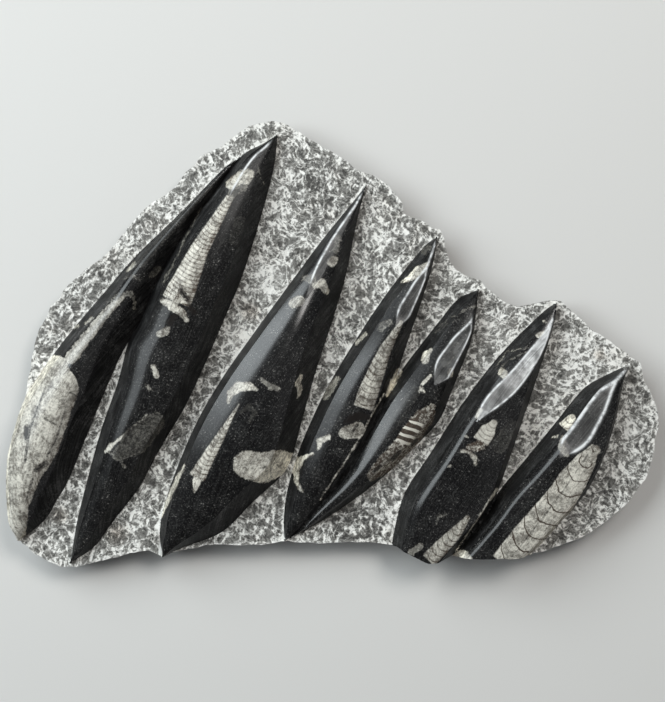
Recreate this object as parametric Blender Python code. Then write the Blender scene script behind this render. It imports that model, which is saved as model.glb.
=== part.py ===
"""Orthoceras fossil plaque: one slab of black limestone with seven ridges carved out of its face.

The field between the ridges is tooled rough, the ridges are ground smooth along the fossil shells
inside them, the rim is broken and the back is sawn flat. The plaque lies on its back: +Z is the
carved face, and the origin is the middle of the bounding box on the back.
"""

import math
import random

import bmesh
import bpy
from mathutils import Vector, noise

MM = 0.001

# --- Driving dimensions -----------------------------------------------------------------------
PLAQUE_WIDTH = 300 * MM
PLAQUE_DEPTH = 206 * MM
FIELD_HEIGHT = 16 * MM  # the back to the tooled field
TOOLING_DEPTH = 1.0 * MM  # how far the tooled field rises and falls
TOOLING_PITCH = 5.1 * MM  # between the points of the field
TOOLING_SHAKE = 0.25  # how far those points are shaken, as a share of the pitch
CHISEL_CELL = 4.6 * MM  # the size of one chisel facet
CHISEL_SHARE = 0.8  # the share of the tooling depth that the chisel facets have
SWELL_PITCH = 26 * MM  # the size of the field's low swells
SWELL_SHARE = 0.55  # and their share of the tooling depth
SWELL_SEED = 0.2
CUT_HEIGHT = 60 * MM  # the rim cutter's top, above the highest ridge

# The broken rim, from the back up: height, and how far it stands in from the outline at most.
# Round the rim, one level or another of the middle ones reaches the outline.
RIM_LEVELS = [
    (-2 * MM, 3.6 * MM),
    (1.5 * MM, 3.0 * MM),
    (5.5 * MM, 2.4 * MM),
    (9.5 * MM, 2.0 * MM),
    (13.5 * MM, 1.6 * MM),
    (FIELD_HEIGHT + TOOLING_DEPTH, 1.2 * MM),
    (CUT_HEIGHT, 1.2 * MM),
]
PROUD_LEVELS = [2, 3, 4]
TOP_CHIPS = (0.1, 1.0)  # the least and most of the inset above the field
WALL_CHIPS = (0.3, 1.0)  # and below it
RIM_SEED = 7

# The outline of the slab, clockwise from the top, in millimetres.
OUTLINE = [
    (-35, 102), (-29, 103), (-24.5, 102.5), (-19, 100), (-12.5, 95.5), (-6.5, 92), (0.5, 88), (7, 84),
    (11, 80), (16.5, 78.5), (21.5, 76.5), (25, 73.5), (27, 70.5), (30, 67.5), (32, 64.5), (32.5, 60.5),
    (36, 58.5), (40.5, 57), (45, 54), (49, 53), (51, 49), (51.5, 45), (53.5, 38.5), (56, 35),
    (60, 32), (67.5, 29.5), (70.5, 26), (76.5, 21), (80, 19), (85, 17.5), (90.5, 18.5), (97, 20),
    (102, 20.5), (105, 20), (108, 17), (111.5, 14), (115.5, 10.5), (119.5, 6.5), (124.5, 3.5),
    (129.5, 0), (134.5, -3.5), (139, -7), (141.5, -8.5), (142.5, -12), (143, -16.5), (146, -21.5),
    (148, -26.5), (149.5, -31.5), (150, -38.5), (148, -44), (148, -49), (146.5, -55), (144.5, -61),
    (141, -66), (137, -71.5), (131.5, -77), (125.5, -82), (119, -86.5), (111, -90.5), (104, -93),
    (97, -95.5), (92, -96.5), (90.5, -97.5), (72, -97.5), (53.5, -97.5), (50.5, -98.5), (47, -100),
    (42.5, -100), (37.5, -97.5), (33, -95), (28.5, -93), (21.5, -92), (7.5, -91.5), (-6.5, -92),
    (-15.5, -91.5), (-22.5, -91), (-33, -92.5), (-43, -93), (-51.5, -92.5), (-59, -93), (-66, -94.5),
    (-73, -96), (-78.5, -98), (-81.5, -97), (-85.5, -95.5), (-93.5, -96.5), (-102, -99),
    (-111, -101), (-119, -103), (-125, -103), (-131.5, -100.5), (-137.5, -97), (-143.5, -92),
    (-147, -87), (-149.5, -80), (-150, -72), (-150, -63.5), (-149, -52.5), (-147, -43), (-145, -34),
    (-142.5, -26), (-141.5, -19), (-139.5, -9.5), (-138, -0.5), (-136, 6.5), (-132.5, 12.5),
    (-130.5, 17.5), (-127, 20.5), (-124.5, 25), (-120, 29.5), (-116.5, 32.5), (-112, 36.5),
    (-107, 39.5), (-103, 43.5), (-98.5, 49), (-93.5, 55.5), (-88.5, 61), (-84, 65), (-78.5, 68.5),
    (-74, 72), (-70.5, 76), (-68.5, 79), (-64.5, 82.5), (-61.5, 86.5), (-56.5, 89), (-51, 91.5),
    (-47.5, 95), (-42.5, 98.5), (-38.5, 101),
]

# Each ridge, from its lower tip to its upper tip: the lines where its left and right flanks meet
# the field in millimetres, and at evenly spaced stations the height of its crest in millimetres
# and where the crest lies, as a share of the way across. flanks is how wide the steep left and
# right flanks are in millimetres, and dome is the share of the height that the low crown over them
# has. facet is the lozenge ground flat along the upper crest: the stations where it starts and
# ends, and its greatest width as a share of the ridge.
RIDGES = {
    "first": {
        "left": [(-144.5, -90.5), (-151, -81), (-152, -67), (-151.5, -51), (-147.5, -37.5),
                 (-143, -26), (-133, -10.5), (-121.5, 5), (-107.5, 21.5), (-91.5, 40),
                 (-70.5, 60.5), (-51.5, 80), (-43, 86)],
        "right": [(-144.5, -90.5), (-133, -81), (-127.5, -72), (-122, -62.5), (-114, -43),
                  (-107, -26), (-99.5, -8.5), (-94.5, 1), (-88.5, 12), (-81, 30), (-69, 51),
                  (-56, 69), (-43, 86)],
        "heights": [4, 12, 16, 16, 15, 12, 8.5, 6, 1],
        "crest": [0.46, 0.46, 0.46, 0.46, 0.48, 0.48, 0.50, 0.50, 0.50],
        "flanks": (5.0, 7.0),
        "dome": 0.25,
        "facet": (0.50, 0.90, 0.00),
    },
    "second": {
        "left": [(-121, -100.5), (-118.5, -83.5), (-114, -65), (-107, -39.5), (-99, -16.5),
                 (-94.5, 1), (-88.5, 12), (-81, 30), (-69, 51), (-56, 69), (-43, 86), (-33, 92),
                 (-26, 96)],
        "right": [(-121, -100.5), (-110.5, -93.5), (-101, -81), (-89.5, -66), (-81.5, -51),
                  (-68, -28), (-58.5, -7.5), (-51, 10), (-42, 31.5), (-35, 53.5),
                  (-30, 71), (-27, 84.5), (-26, 96)],
        "heights": [4, 9, 14, 17, 18.5, 18.5, 16, 11, 4],
        "crest": [0.46, 0.46, 0.46, 0.46, 0.44, 0.42, 0.40, 0.42, 0.46],
        "flanks": (6.0, 5.5),
        "dome": 0.22,
        "facet": (0.80, 0.99, 0.14),
    },
    "third": {
        "left": [(-78.5, -98), (-80, -88), (-78.5, -76.5), (-72.5, -58), (-62.5, -35),
                 (-50.5, -14.5), (-35, 7.5), (-20, 28), (-6, 47), (6.5, 62.5), (15, 73)],
        "right": [(-78.5, -98), (-70.5, -94), (-51.5, -86.5), (-37.5, -73), (-24.5, -61),
                  (-19.5, -52.5), (-15.2, -37.5), (-8.4, -13), (-0.5, 11), (5.5, 31.5), (10, 53.5),
                  (13, 66), (15, 73)],
        "heights": [5, 11, 17, 20, 21, 19, 14.5, 9.2, 4],
        "crest": [0.48, 0.48, 0.46, 0.44, 0.44, 0.46, 0.41, 0.41, 0.60],
        "flanks": (4.0, 8.0),
        "dome": 0.17,
        "facet": (0.70, 0.97, 0.20),
    },
    "fourth": {
        "left": [(-22.5, -90.5), (-23, -81), (-21.5, -68), (-16.7, -51), (-10.2, -35),
                 (-2.4, -19), (8, -1.5), (23.5, 22), (40, 43), (47.5, 49.5)],
        "right": [(-22.5, -90.5), (-13, -84), (-3, -74), (8, -60), (16.5, -46), (26, -23),
                  (33.5, -0.5), (41, 21.5), (46, 38.5), (47.5, 49.5)],
        "heights": [3, 8, 12.5, 14.5, 15, 15, 13.2, 10, 4],
        "crest": [0.50, 0.50, 0.50, 0.50, 0.52, 0.56, 0.64, 0.71, 0.70],
        "flanks": (4.5, 5.0),
        "dome": 0.20,
        "facet": (0.70, 0.90, 0.34),
    },
    "fifth": {
        "left": [(-20, -89), (-15, -84), (-8.5, -74), (2, -60), (10, -46), (22, -25), (30.5, -13),
                 (38, -3), (49, 11), (57, 20.5), (66.5, 25)],
        "right": [(-20, -89), (-10, -84), (6, -74), (23.5, -60.5), (38, -46.5), (48.5, -35),
                  (54.5, -21), (60, -7.5), (64.5, 6.5), (66.5, 25)],
        "heights": [2, 6, 9.5, 12.5, 13.5, 13.5, 12.5, 9.5, 4],
        "crest": [0.50, 0.50, 0.52, 0.54, 0.56, 0.60, 0.66, 0.77, 0.80],
        "flanks": (4.5, 4.5),
        "dome": 0.22,
        "facet": (0.66, 0.89, 0.42),
    },
    "sixth": {
        "left": [(33, -122.5), (27.5, -108.5), (26.5, -95), (29.5, -78.5), (34, -66), (45, -49.5),
                 (59.5, -27), (76.5, -5), (95.5, 14), (102.5, 19)],
        "right": [(33, -122.5), (43, -111), (53, -99.5), (64.5, -85.5), (71.5, -76.5), (76, -66.5),
                  (83, -46.5), (90, -26), (96.5, -6.5), (101, 8.5), (102.5, 19)],
        "heights": [0, 8, 13, 16.5, 18, 17.5, 14.0, 9.2, 4.2],
        "crest": [0.34, 0.31, 0.27, 0.25, 0.25, 0.29, 0.51, 0.68, 0.74],
        "flanks": (5.0, 4.5),
        "dome": 0.16,
        "facet": (0.59, 0.95, 0.31),
    },
    "seventh": {
        "left": [(42, -118), (51.5, -101), (62.5, -86.5), (69.5, -77.5), (77, -66.5), (87, -54.5),
                 (101, -37.5), (114.5, -21), (125, -14.5), (134.5, -10)],
        "right": [(42, -118), (72, -109.5), (90.5, -96.5), (102.5, -84), (114.5, -70.5),
                  (123, -55.5), (129, -37.5), (132, -23.5), (134.5, -10)],
        "heights": [0, 9, 13, 15.5, 16, 15.8, 14.8, 13.2, 8],
        "crest": [0.40, 0.34, 0.27, 0.24, 0.25, 0.28, 0.34, 0.35, 0.30],
        "flanks": (4.5, 4.0),
        "dome": 0.20,
        "facet": (0.62, 0.93, 0.37),
    },
}

STATIONS = 24  # sections along a ridge
CURVE_STEPS = 12  # pieces of a foot's curve between two of its points
FLANK_STEPS = 2  # points up each steep flank
CROWN_STEPS = 3  # points over each half of the rounded crown
FLANK_LIMIT = 0.5  # the most of the way to the crest that a flank takes where a ridge narrows
FACET_LIMIT = 0.85  # the most of the way to a flank that the lozenge takes
LOZENGE_BLUNT = 1.35  # 1 for a diamond, more for one with a long, even middle
TIP_START = 0.6  # the station above which the dome gets flatter
TIP_FLATNESS = 0.55  # how much of the dome is gone at the upper tip
CREASE_SHARE = 0.01  # how wide the crest is where there is no lozenge, as a share of the ridge
TIP_HALF_WIDTH = 0.4 * MM
FOOT_SINK = 1.6 * MM  # a ridge's feet start this far under the field
RIDGE_ROOT = 6 * MM  # the underside of a ridge's solid, buried in the slab

BLACK_LIMESTONE = (0.045, 0.044, 0.043, 1.0)
POLISH_ROUGHNESS = 0.35


def clear_scene():
    for obj in list(bpy.data.objects):
        bpy.data.objects.remove(obj, do_unlink=True)


def collection(name, hidden=False):
    made = bpy.data.collections.new(name)
    bpy.context.scene.collection.children.link(made)
    made.hide_render = hidden
    return made


def stone_material():
    material = bpy.data.materials.new("black_limestone")
    material.use_nodes = True
    shader = material.node_tree.nodes["Principled BSDF"]
    shader.inputs["Base Color"].default_value = BLACK_LIMESTONE
    shader.inputs["Roughness"].default_value = POLISH_ROUGHNESS
    shader.inputs["Metallic"].default_value = 0.0
    return material


def mesh_object(name, bm, home, material):
    """Closes a bmesh into a named object with outward faces."""
    bmesh.ops.recalc_face_normals(bm, faces=bm.faces)
    mesh = bpy.data.meshes.new(name)
    bm.to_mesh(mesh)
    bm.free()
    mesh.materials.append(material)
    made = bpy.data.objects.new(name, mesh)
    home.objects.link(made)
    return made


def smooth_line(points, count):
    """count + 1 evenly spaced points along a Catmull-Rom curve through points, in metres."""
    knots = [Vector(p) * MM for p in points]
    knots = [2 * knots[0] - knots[1], *knots, 2 * knots[-1] - knots[-2]]
    fine = []
    for a, b, c, d in zip(knots, knots[1:], knots[2:], knots[3:]):
        for step in range(CURVE_STEPS):
            t = step / CURVE_STEPS
            fine.append(0.5 * (2 * b + (c - a) * t + (2 * a - 5 * b + 4 * c - d) * t**2
                               + (3 * b - a - 3 * c + d) * t**3))
    fine.append(knots[-2])
    reach = [0.0]
    for a, b in zip(fine, fine[1:]):
        reach.append(reach[-1] + (b - a).length)
    line, at = [], 0
    for step in range(count + 1):
        goal = reach[-1] * step / count
        while at < len(fine) - 2 and reach[at + 1] < goal:
            at += 1
        share = (goal - reach[at]) / (reach[at + 1] - reach[at])
        line.append(fine[at].lerp(fine[at + 1], min(1.0, share)))
    return line


def along_ridge(values, t):
    """The value at station t of a smooth line through evenly spaced values."""
    spacing = 1 / (len(values) - 1)
    at = min(int(t / spacing), len(values) - 2)
    padded = [2 * values[0] - values[1], *values, 2 * values[-1] - values[-2]]
    a, b, c, d = padded[at : at + 4]
    s = t / spacing - at
    return 0.5 * (2 * b + (c - a) * s + (2 * a - 5 * b + 4 * c - d) * s**2
                  + (3 * b - a - 3 * c + d) * s**3)


def section(ridge, t, width):
    """The cross-section at station t, as (share of the way across, share of the crest's height)."""
    crest = along_ridge(ridge["crest"], t)
    left_flank = min(ridge["flanks"][0] * MM / width, FLANK_LIMIT * crest)
    right_flank = min(ridge["flanks"][1] * MM / width, FLANK_LIMIT * (1 - crest))
    late = max(0.0, (t - TIP_START) / (1 - TIP_START))
    dome = ridge["dome"] * (1 - TIP_FLATNESS * late * late * (3 - 2 * late))
    start, end, widest = ridge["facet"]
    span = (t - start) / (end - start)
    opened = max(0.0, min(1.0, LOZENGE_BLUNT * (1 - abs(2 * span - 1))))
    facet = CREASE_SHARE + widest * math.sin(math.pi / 2 * opened)

    def half(side):
        """From the foot up to the facet's edge on the left (side 0) or the right (side 1)."""
        foot = float(side)
        flank = left_flank if side == 0 else 1 - right_flank
        reach = abs(crest - flank)
        facet_reach = min(facet / 2, reach * FACET_LIMIT)
        points = []
        for step in range(FLANK_STEPS):
            share = step / FLANK_STEPS
            points.append((foot + (flank - foot) * share, (1 - dome) * share))
        for step in range(CROWN_STEPS + 1):
            off = reach + (facet_reach - reach) * step / CROWN_STEPS
            across = crest - off if side == 0 else crest + off
            points.append((across, 1 - dome * (off / reach) ** 2))
        return points

    return half(0) + half(1)[::-1]


def make_ridge(name, ridge, home, material):
    """A spindle lofted through its cross-sections, closed underneath inside the slab."""
    left = smooth_line(ridge["left"], STATIONS)
    right = smooth_line(ridge["right"], STATIONS)
    across = (left[1] - right[1]).normalized() * TIP_HALF_WIDTH
    for end in (0, STATIONS):
        left[end] = left[end] + across
        right[end] = right[end] - across
    bm = bmesh.new()
    rings = []
    for step in range(STATIONS + 1):
        t = step / STATIONS
        height = max(along_ridge(ridge["heights"], t), 0.0) * MM
        foot = FIELD_HEIGHT - FOOT_SINK
        ring = []
        for share, rise in section(ridge, t, (left[step] - right[step]).length):
            spot = left[step].lerp(right[step], share)
            ring.append(bm.verts.new((*spot, foot + (height + FOOT_SINK) * rise)))
        ring.append(bm.verts.new((*right[step], RIDGE_ROOT)))
        ring.append(bm.verts.new((*left[step], RIDGE_ROOT)))
        rings.append(ring)
    for low, high in zip(rings, rings[1:]):
        for i in range(len(low)):
            j = (i + 1) % len(low)
            bm.faces.new((low[i], low[j], high[j], high[i]))
    bm.faces.new(rings[0])
    bm.faces.new(rings[-1])
    made = mesh_object(name, bm, home, material)
    made.hide_render = True
    made.display_type = "WIRE"
    return made


def tooled_height(x, y):
    """The height of the chiselled field: low swells with chisel facets on them."""
    swell = noise.noise(Vector((x, y, SWELL_SEED)) / SWELL_PITCH)
    facet = noise.cell(Vector((x, y, 0)) / CHISEL_CELL) - 0.5
    return FIELD_HEIGHT + TOOLING_DEPTH * (SWELL_SHARE * swell + CHISEL_SHARE * facet)


def make_slab(name, home, material):
    """A block under the whole plaque: tooled on its face, sawn flat on its back."""
    columns = round(PLAQUE_WIDTH / TOOLING_PITCH) + 2
    rows = round(PLAQUE_DEPTH / TOOLING_PITCH) + 2
    bm = bmesh.new()
    bmesh.ops.create_grid(bm, x_segments=columns, y_segments=rows, size=0.5)
    dice = random.Random(RIM_SEED)
    shake = TOOLING_SHAKE * TOOLING_PITCH
    for vert in bm.verts:
        x = vert.co.x * columns * TOOLING_PITCH + dice.uniform(-shake, shake)
        y = vert.co.y * rows * TOOLING_PITCH + dice.uniform(-shake, shake)
        vert.co = (x, y, tooled_height(x, y))
    rim = [edge for edge in bm.edges if edge.is_boundary]
    walls = bmesh.ops.extrude_edge_only(bm, edges=rim)["geom"]
    for vert in walls:
        if isinstance(vert, bmesh.types.BMVert):
            vert.co.z = 0.0
    bmesh.ops.edgeloop_fill(bm, edges=[edge for edge in bm.edges if edge.is_boundary])
    return mesh_object(name, bm, home, material)


def make_rim(name, home, material):
    """The outline as a tall prism with a broken, stepped wall. What lies inside it is kept."""
    dice = random.Random(RIM_SEED)
    count = len(OUTLINE)
    points = [Vector(p) * MM for p in OUTLINE]
    inward = []
    for i in range(count):
        along = (points[(i + 1) % count] - points[i - 1]).normalized()
        inward.append(Vector((along.y, -along.x)))
    proud = [dice.choice(PROUD_LEVELS) for _ in range(count)]
    top_chips = [dice.uniform(*TOP_CHIPS) for _ in range(count)]
    bm = bmesh.new()
    rings = []
    for level, (height, inset) in enumerate(RIM_LEVELS):
        ring = []
        for i in range(count):
            chip = top_chips[i] if height > FIELD_HEIGHT else dice.uniform(*WALL_CHIPS)
            if proud[i] == level:
                chip = 0.0
            spot = points[i] + inward[i] * inset * chip
            ring.append(bm.verts.new((*spot, height)))
        rings.append(ring)
    for low, high in zip(rings, rings[1:]):
        for i in range(count):
            j = (i + 1) % count
            bm.faces.new((low[i], low[j], high[j], high[i]))
    bm.faces.new(rings[0])
    bm.faces.new(rings[-1])
    bmesh.ops.triangulate(bm, faces=bm.faces)
    made = mesh_object(name, bm, home, material)
    made.hide_render = True
    made.display_type = "WIRE"
    return made


def boolean(obj, operation, target):
    """Adds an exact Boolean with an object or with all of a collection."""
    modifier = obj.modifiers.new(operation.lower(), "BOOLEAN")
    modifier.operation = operation
    modifier.solver = "EXACT"
    if isinstance(target, bpy.types.Collection):
        modifier.operand_type = "COLLECTION"
        modifier.collection = target
    else:
        modifier.object = target
    return modifier


def main():
    clear_scene()
    material = stone_material()
    plaque = collection("orthoceras_plaque")
    ridges = collection("ridges")
    cutters = collection("cutters")
    slab = make_slab("fossil_slab", plaque, material)
    for name, ridge in RIDGES.items():
        make_ridge(f"{name}_ridge", ridge, ridges, material)
    rim = make_rim("broken_rim", cutters, material)
    boolean(slab, "UNION", ridges)
    boolean(slab, "INTERSECT", rim)
    slab.data.shade_flat()


main()
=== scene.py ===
# %% [markdown]
# # A carved plaque of fossil limestone
#
# Straight-shelled cephalopods lie in a bed of black limestone. A carver splits out a slab, grinds a
# long spindle of stone along each shell, polishes the spindles and chisels the ground between them
# rough. It is all one stone, so this lesson makes it as one mesh.
#
# The packed model gives the frame: its size, its place and the node that this mesh stands for. The
# lesson works in millimetres and turns them into Blender's metres at the end.

import math

import bpy
import numpy as np
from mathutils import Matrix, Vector, kdtree, noise
from mathutils.geometry import delaunay_2d_cdt


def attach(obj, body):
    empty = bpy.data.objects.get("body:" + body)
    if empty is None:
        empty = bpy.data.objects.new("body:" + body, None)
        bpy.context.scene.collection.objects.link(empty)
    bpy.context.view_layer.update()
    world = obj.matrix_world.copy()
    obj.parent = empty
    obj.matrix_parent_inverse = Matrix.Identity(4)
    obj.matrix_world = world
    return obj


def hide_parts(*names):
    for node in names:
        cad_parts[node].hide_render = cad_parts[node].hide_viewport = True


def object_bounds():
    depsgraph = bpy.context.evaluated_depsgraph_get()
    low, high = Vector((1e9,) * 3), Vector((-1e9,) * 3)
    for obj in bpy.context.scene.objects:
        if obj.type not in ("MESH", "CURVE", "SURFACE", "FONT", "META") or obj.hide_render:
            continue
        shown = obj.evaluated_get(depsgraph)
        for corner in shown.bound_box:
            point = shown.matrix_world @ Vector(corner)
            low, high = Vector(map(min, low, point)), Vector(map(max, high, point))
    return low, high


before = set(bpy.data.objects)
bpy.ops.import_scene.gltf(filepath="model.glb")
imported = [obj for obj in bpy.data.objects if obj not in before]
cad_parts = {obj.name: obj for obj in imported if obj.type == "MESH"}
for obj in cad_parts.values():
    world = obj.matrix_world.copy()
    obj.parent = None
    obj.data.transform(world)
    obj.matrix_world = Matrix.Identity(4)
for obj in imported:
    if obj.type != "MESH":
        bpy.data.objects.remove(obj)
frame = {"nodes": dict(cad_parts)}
cad_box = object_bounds()
MM = 0.001
HALF_LENGTH, HALF_WIDTH = (round(float(v) / MM) for v in cad_box[1][:2])
print("frame:", ", ".join(frame["nodes"]), "in", [round(float(v), 4) for v in np.ravel(cad_box)])

# %% [markdown]
# ## The slab's outline
#
# A split slab has no straight edges. Its outline is a list of points a few millimetres apart, and
# a smaller, random roughness goes between them later.
# A noise function alone would be shorter, but it wouldn't give this slab's own bays and corners.

# %% Outline
OUTLINE = [
    (-35, 102), (-29, 103), (-24.5, 102.5), (-19, 100), (-12.5, 95.5), (-6.5, 92), (0.5, 88),
    (7, 84), (11, 80), (16.5, 78.5), (21.5, 76.5), (25, 73.5), (27, 70.5), (30, 67.5), (32, 64.5),
    (32.5, 60.5), (36, 58.5), (40.5, 57), (45, 54), (49, 53), (51, 49), (51.5, 45), (53.5, 38.5),
    (56, 35), (60, 32), (67.5, 29.5), (70.5, 26), (76.5, 21), (80, 19), (85, 17.5), (90.5, 18.5),
    (97, 20), (102, 20.5), (105, 20), (108, 17), (111.5, 14), (115.5, 10.5), (119.5, 6.5),
    (124.5, 3.5), (129.5, 0), (134.5, -3.5), (139, -7), (141.5, -8.5), (142.5, -12), (143, -16.5),
    (146, -21.5), (148, -26.5), (149.5, -31.5), (150, -38.5), (148, -44), (148, -49),
    (146.5, -55), (144.5, -61), (141, -66), (137, -71.5), (131.5, -77), (125.5, -82),
    (119, -86.5), (111, -90.5), (104, -93), (97, -95.5), (92, -96.5), (90.5, -97.5), (72, -97.5),
    (53.5, -97.5), (50.5, -98.5), (47, -100), (42.5, -100), (37.5, -97.5), (33, -95), (28.5, -93),
    (21.5, -92), (7.5, -91.5), (-6.5, -92), (-15.5, -91.5), (-22.5, -91), (-33, -92.5),
    (-43, -93), (-51.5, -92.5), (-59, -93), (-66, -94.5), (-73, -96), (-78.5, -98), (-81.5, -97),
    (-85.5, -95.5), (-93.5, -96.5), (-102, -99), (-111, -101), (-119, -103), (-125, -103),
    (-131.5, -100.5), (-137.5, -97), (-143.5, -92), (-147, -87), (-149.5, -80), (-150, -72),
    (-150, -63.5), (-149, -52.5), (-147, -43), (-145, -34), (-142.5, -26), (-141.5, -19),
    (-139.5, -9.5), (-138, -0.5), (-136, 6.5), (-132.5, 12.5), (-130.5, 17.5), (-127, 20.5),
    (-124.5, 25), (-120, 29.5), (-116.5, 32.5), (-112, 36.5), (-107, 39.5), (-103, 43.5),
    (-98.5, 49), (-93.5, 55.5), (-88.5, 61), (-84, 65), (-78.5, 68.5), (-74, 72), (-70.5, 76),
    (-68.5, 79), (-64.5, 82.5), (-61.5, 86.5), (-56.5, 89), (-51, 91.5), (-47.5, 95),
    (-42.5, 98.5), (-38.5, 101),
]
EDGE_STEP = 1.15  # mm between points along the rim
EDGE_RAGGED = 0.8  # mm, how far the upper edge crumbles back from the outline


def walk(corners, step):
    """Points about a step apart along a closed run of corners, in millimetres."""
    points = []
    for start, end in zip(corners, corners[1:] + corners[:1]):
        start, end = np.array(start, float), np.array(end, float)
        pieces = max(1, round(float(np.hypot(*(end - start))) / step))
        points += [start + (end - start) * i / pieces for i in range(pieces)]
    return np.array(points)


def outward(points):
    """Each point's direction out of a closed clockwise run."""
    along = np.roll(points, -3, axis=0) - np.roll(points, 3, axis=0)
    normal = np.column_stack([-along[:, 1], along[:, 0]])
    return normal / np.linalg.norm(normal, axis=1)[:, None]


def rough(points, pitch, seed):
    """Perlin noise from -1 to 1 at points in mm, with features about a pitch across."""
    return np.array([noise.noise(Vector((*(p / pitch), seed))) for p in points])


outline = walk(OUTLINE, EDGE_STEP)
outline_out = outward(outline)
crumble = 0.5 + 0.5 * rough(outline, 5.0, 3.1) + 0.4 * rough(outline, 1.7, 8.7)
top_edge = outline - outline_out * (EDGE_RAGGED * np.clip(crumble, 0.1, 1.3))[:, None]
print("outline:", len(outline), "points")

# %% [markdown]
# ## The seven ridges
#
# Each ridge is a spindle ground out of the stone along a shell. It is given by the two lines where
# its flanks meet the field, the height of its crest, how wide its flanks are, and the lozenge that
# is ground flat on its upper crest. A loft could make it, but seven lofts would then have to be
# joined to the field. A height for each place on the slab is simpler: the highest surface wins.

# %% Ridges
# A station is a place along a ridge, 0 at its lower end and 1 at its upper one. For each ridge:
#   left, right   the lines of its two feet, from the lower end to the upper one, in mm
#   heights       of the crest over the field in mm, at even stations
#   crest         where the crest lies, as a share of the way across, at even stations
#   flanks        the widths of the left and the right flank, in mm
#   dome          how much lower the crown's sides are than its crest, as a share of its height
#   facet         the lozenge's first and last station, and its widest share of the width
#   dull          how much of the crown's polish is worn off, as (station, share)
#   film          how pale the lozenge's dust is, also a painted highlight, as (station, share)
#   rubbed  the station where the painted glint and wear on the lozenge's edges end
#   reach         how far the painted glint and wear go from the lozenge's edges, in mm
FIELD_HEIGHT = 16  # mm from the back to the field
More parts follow.
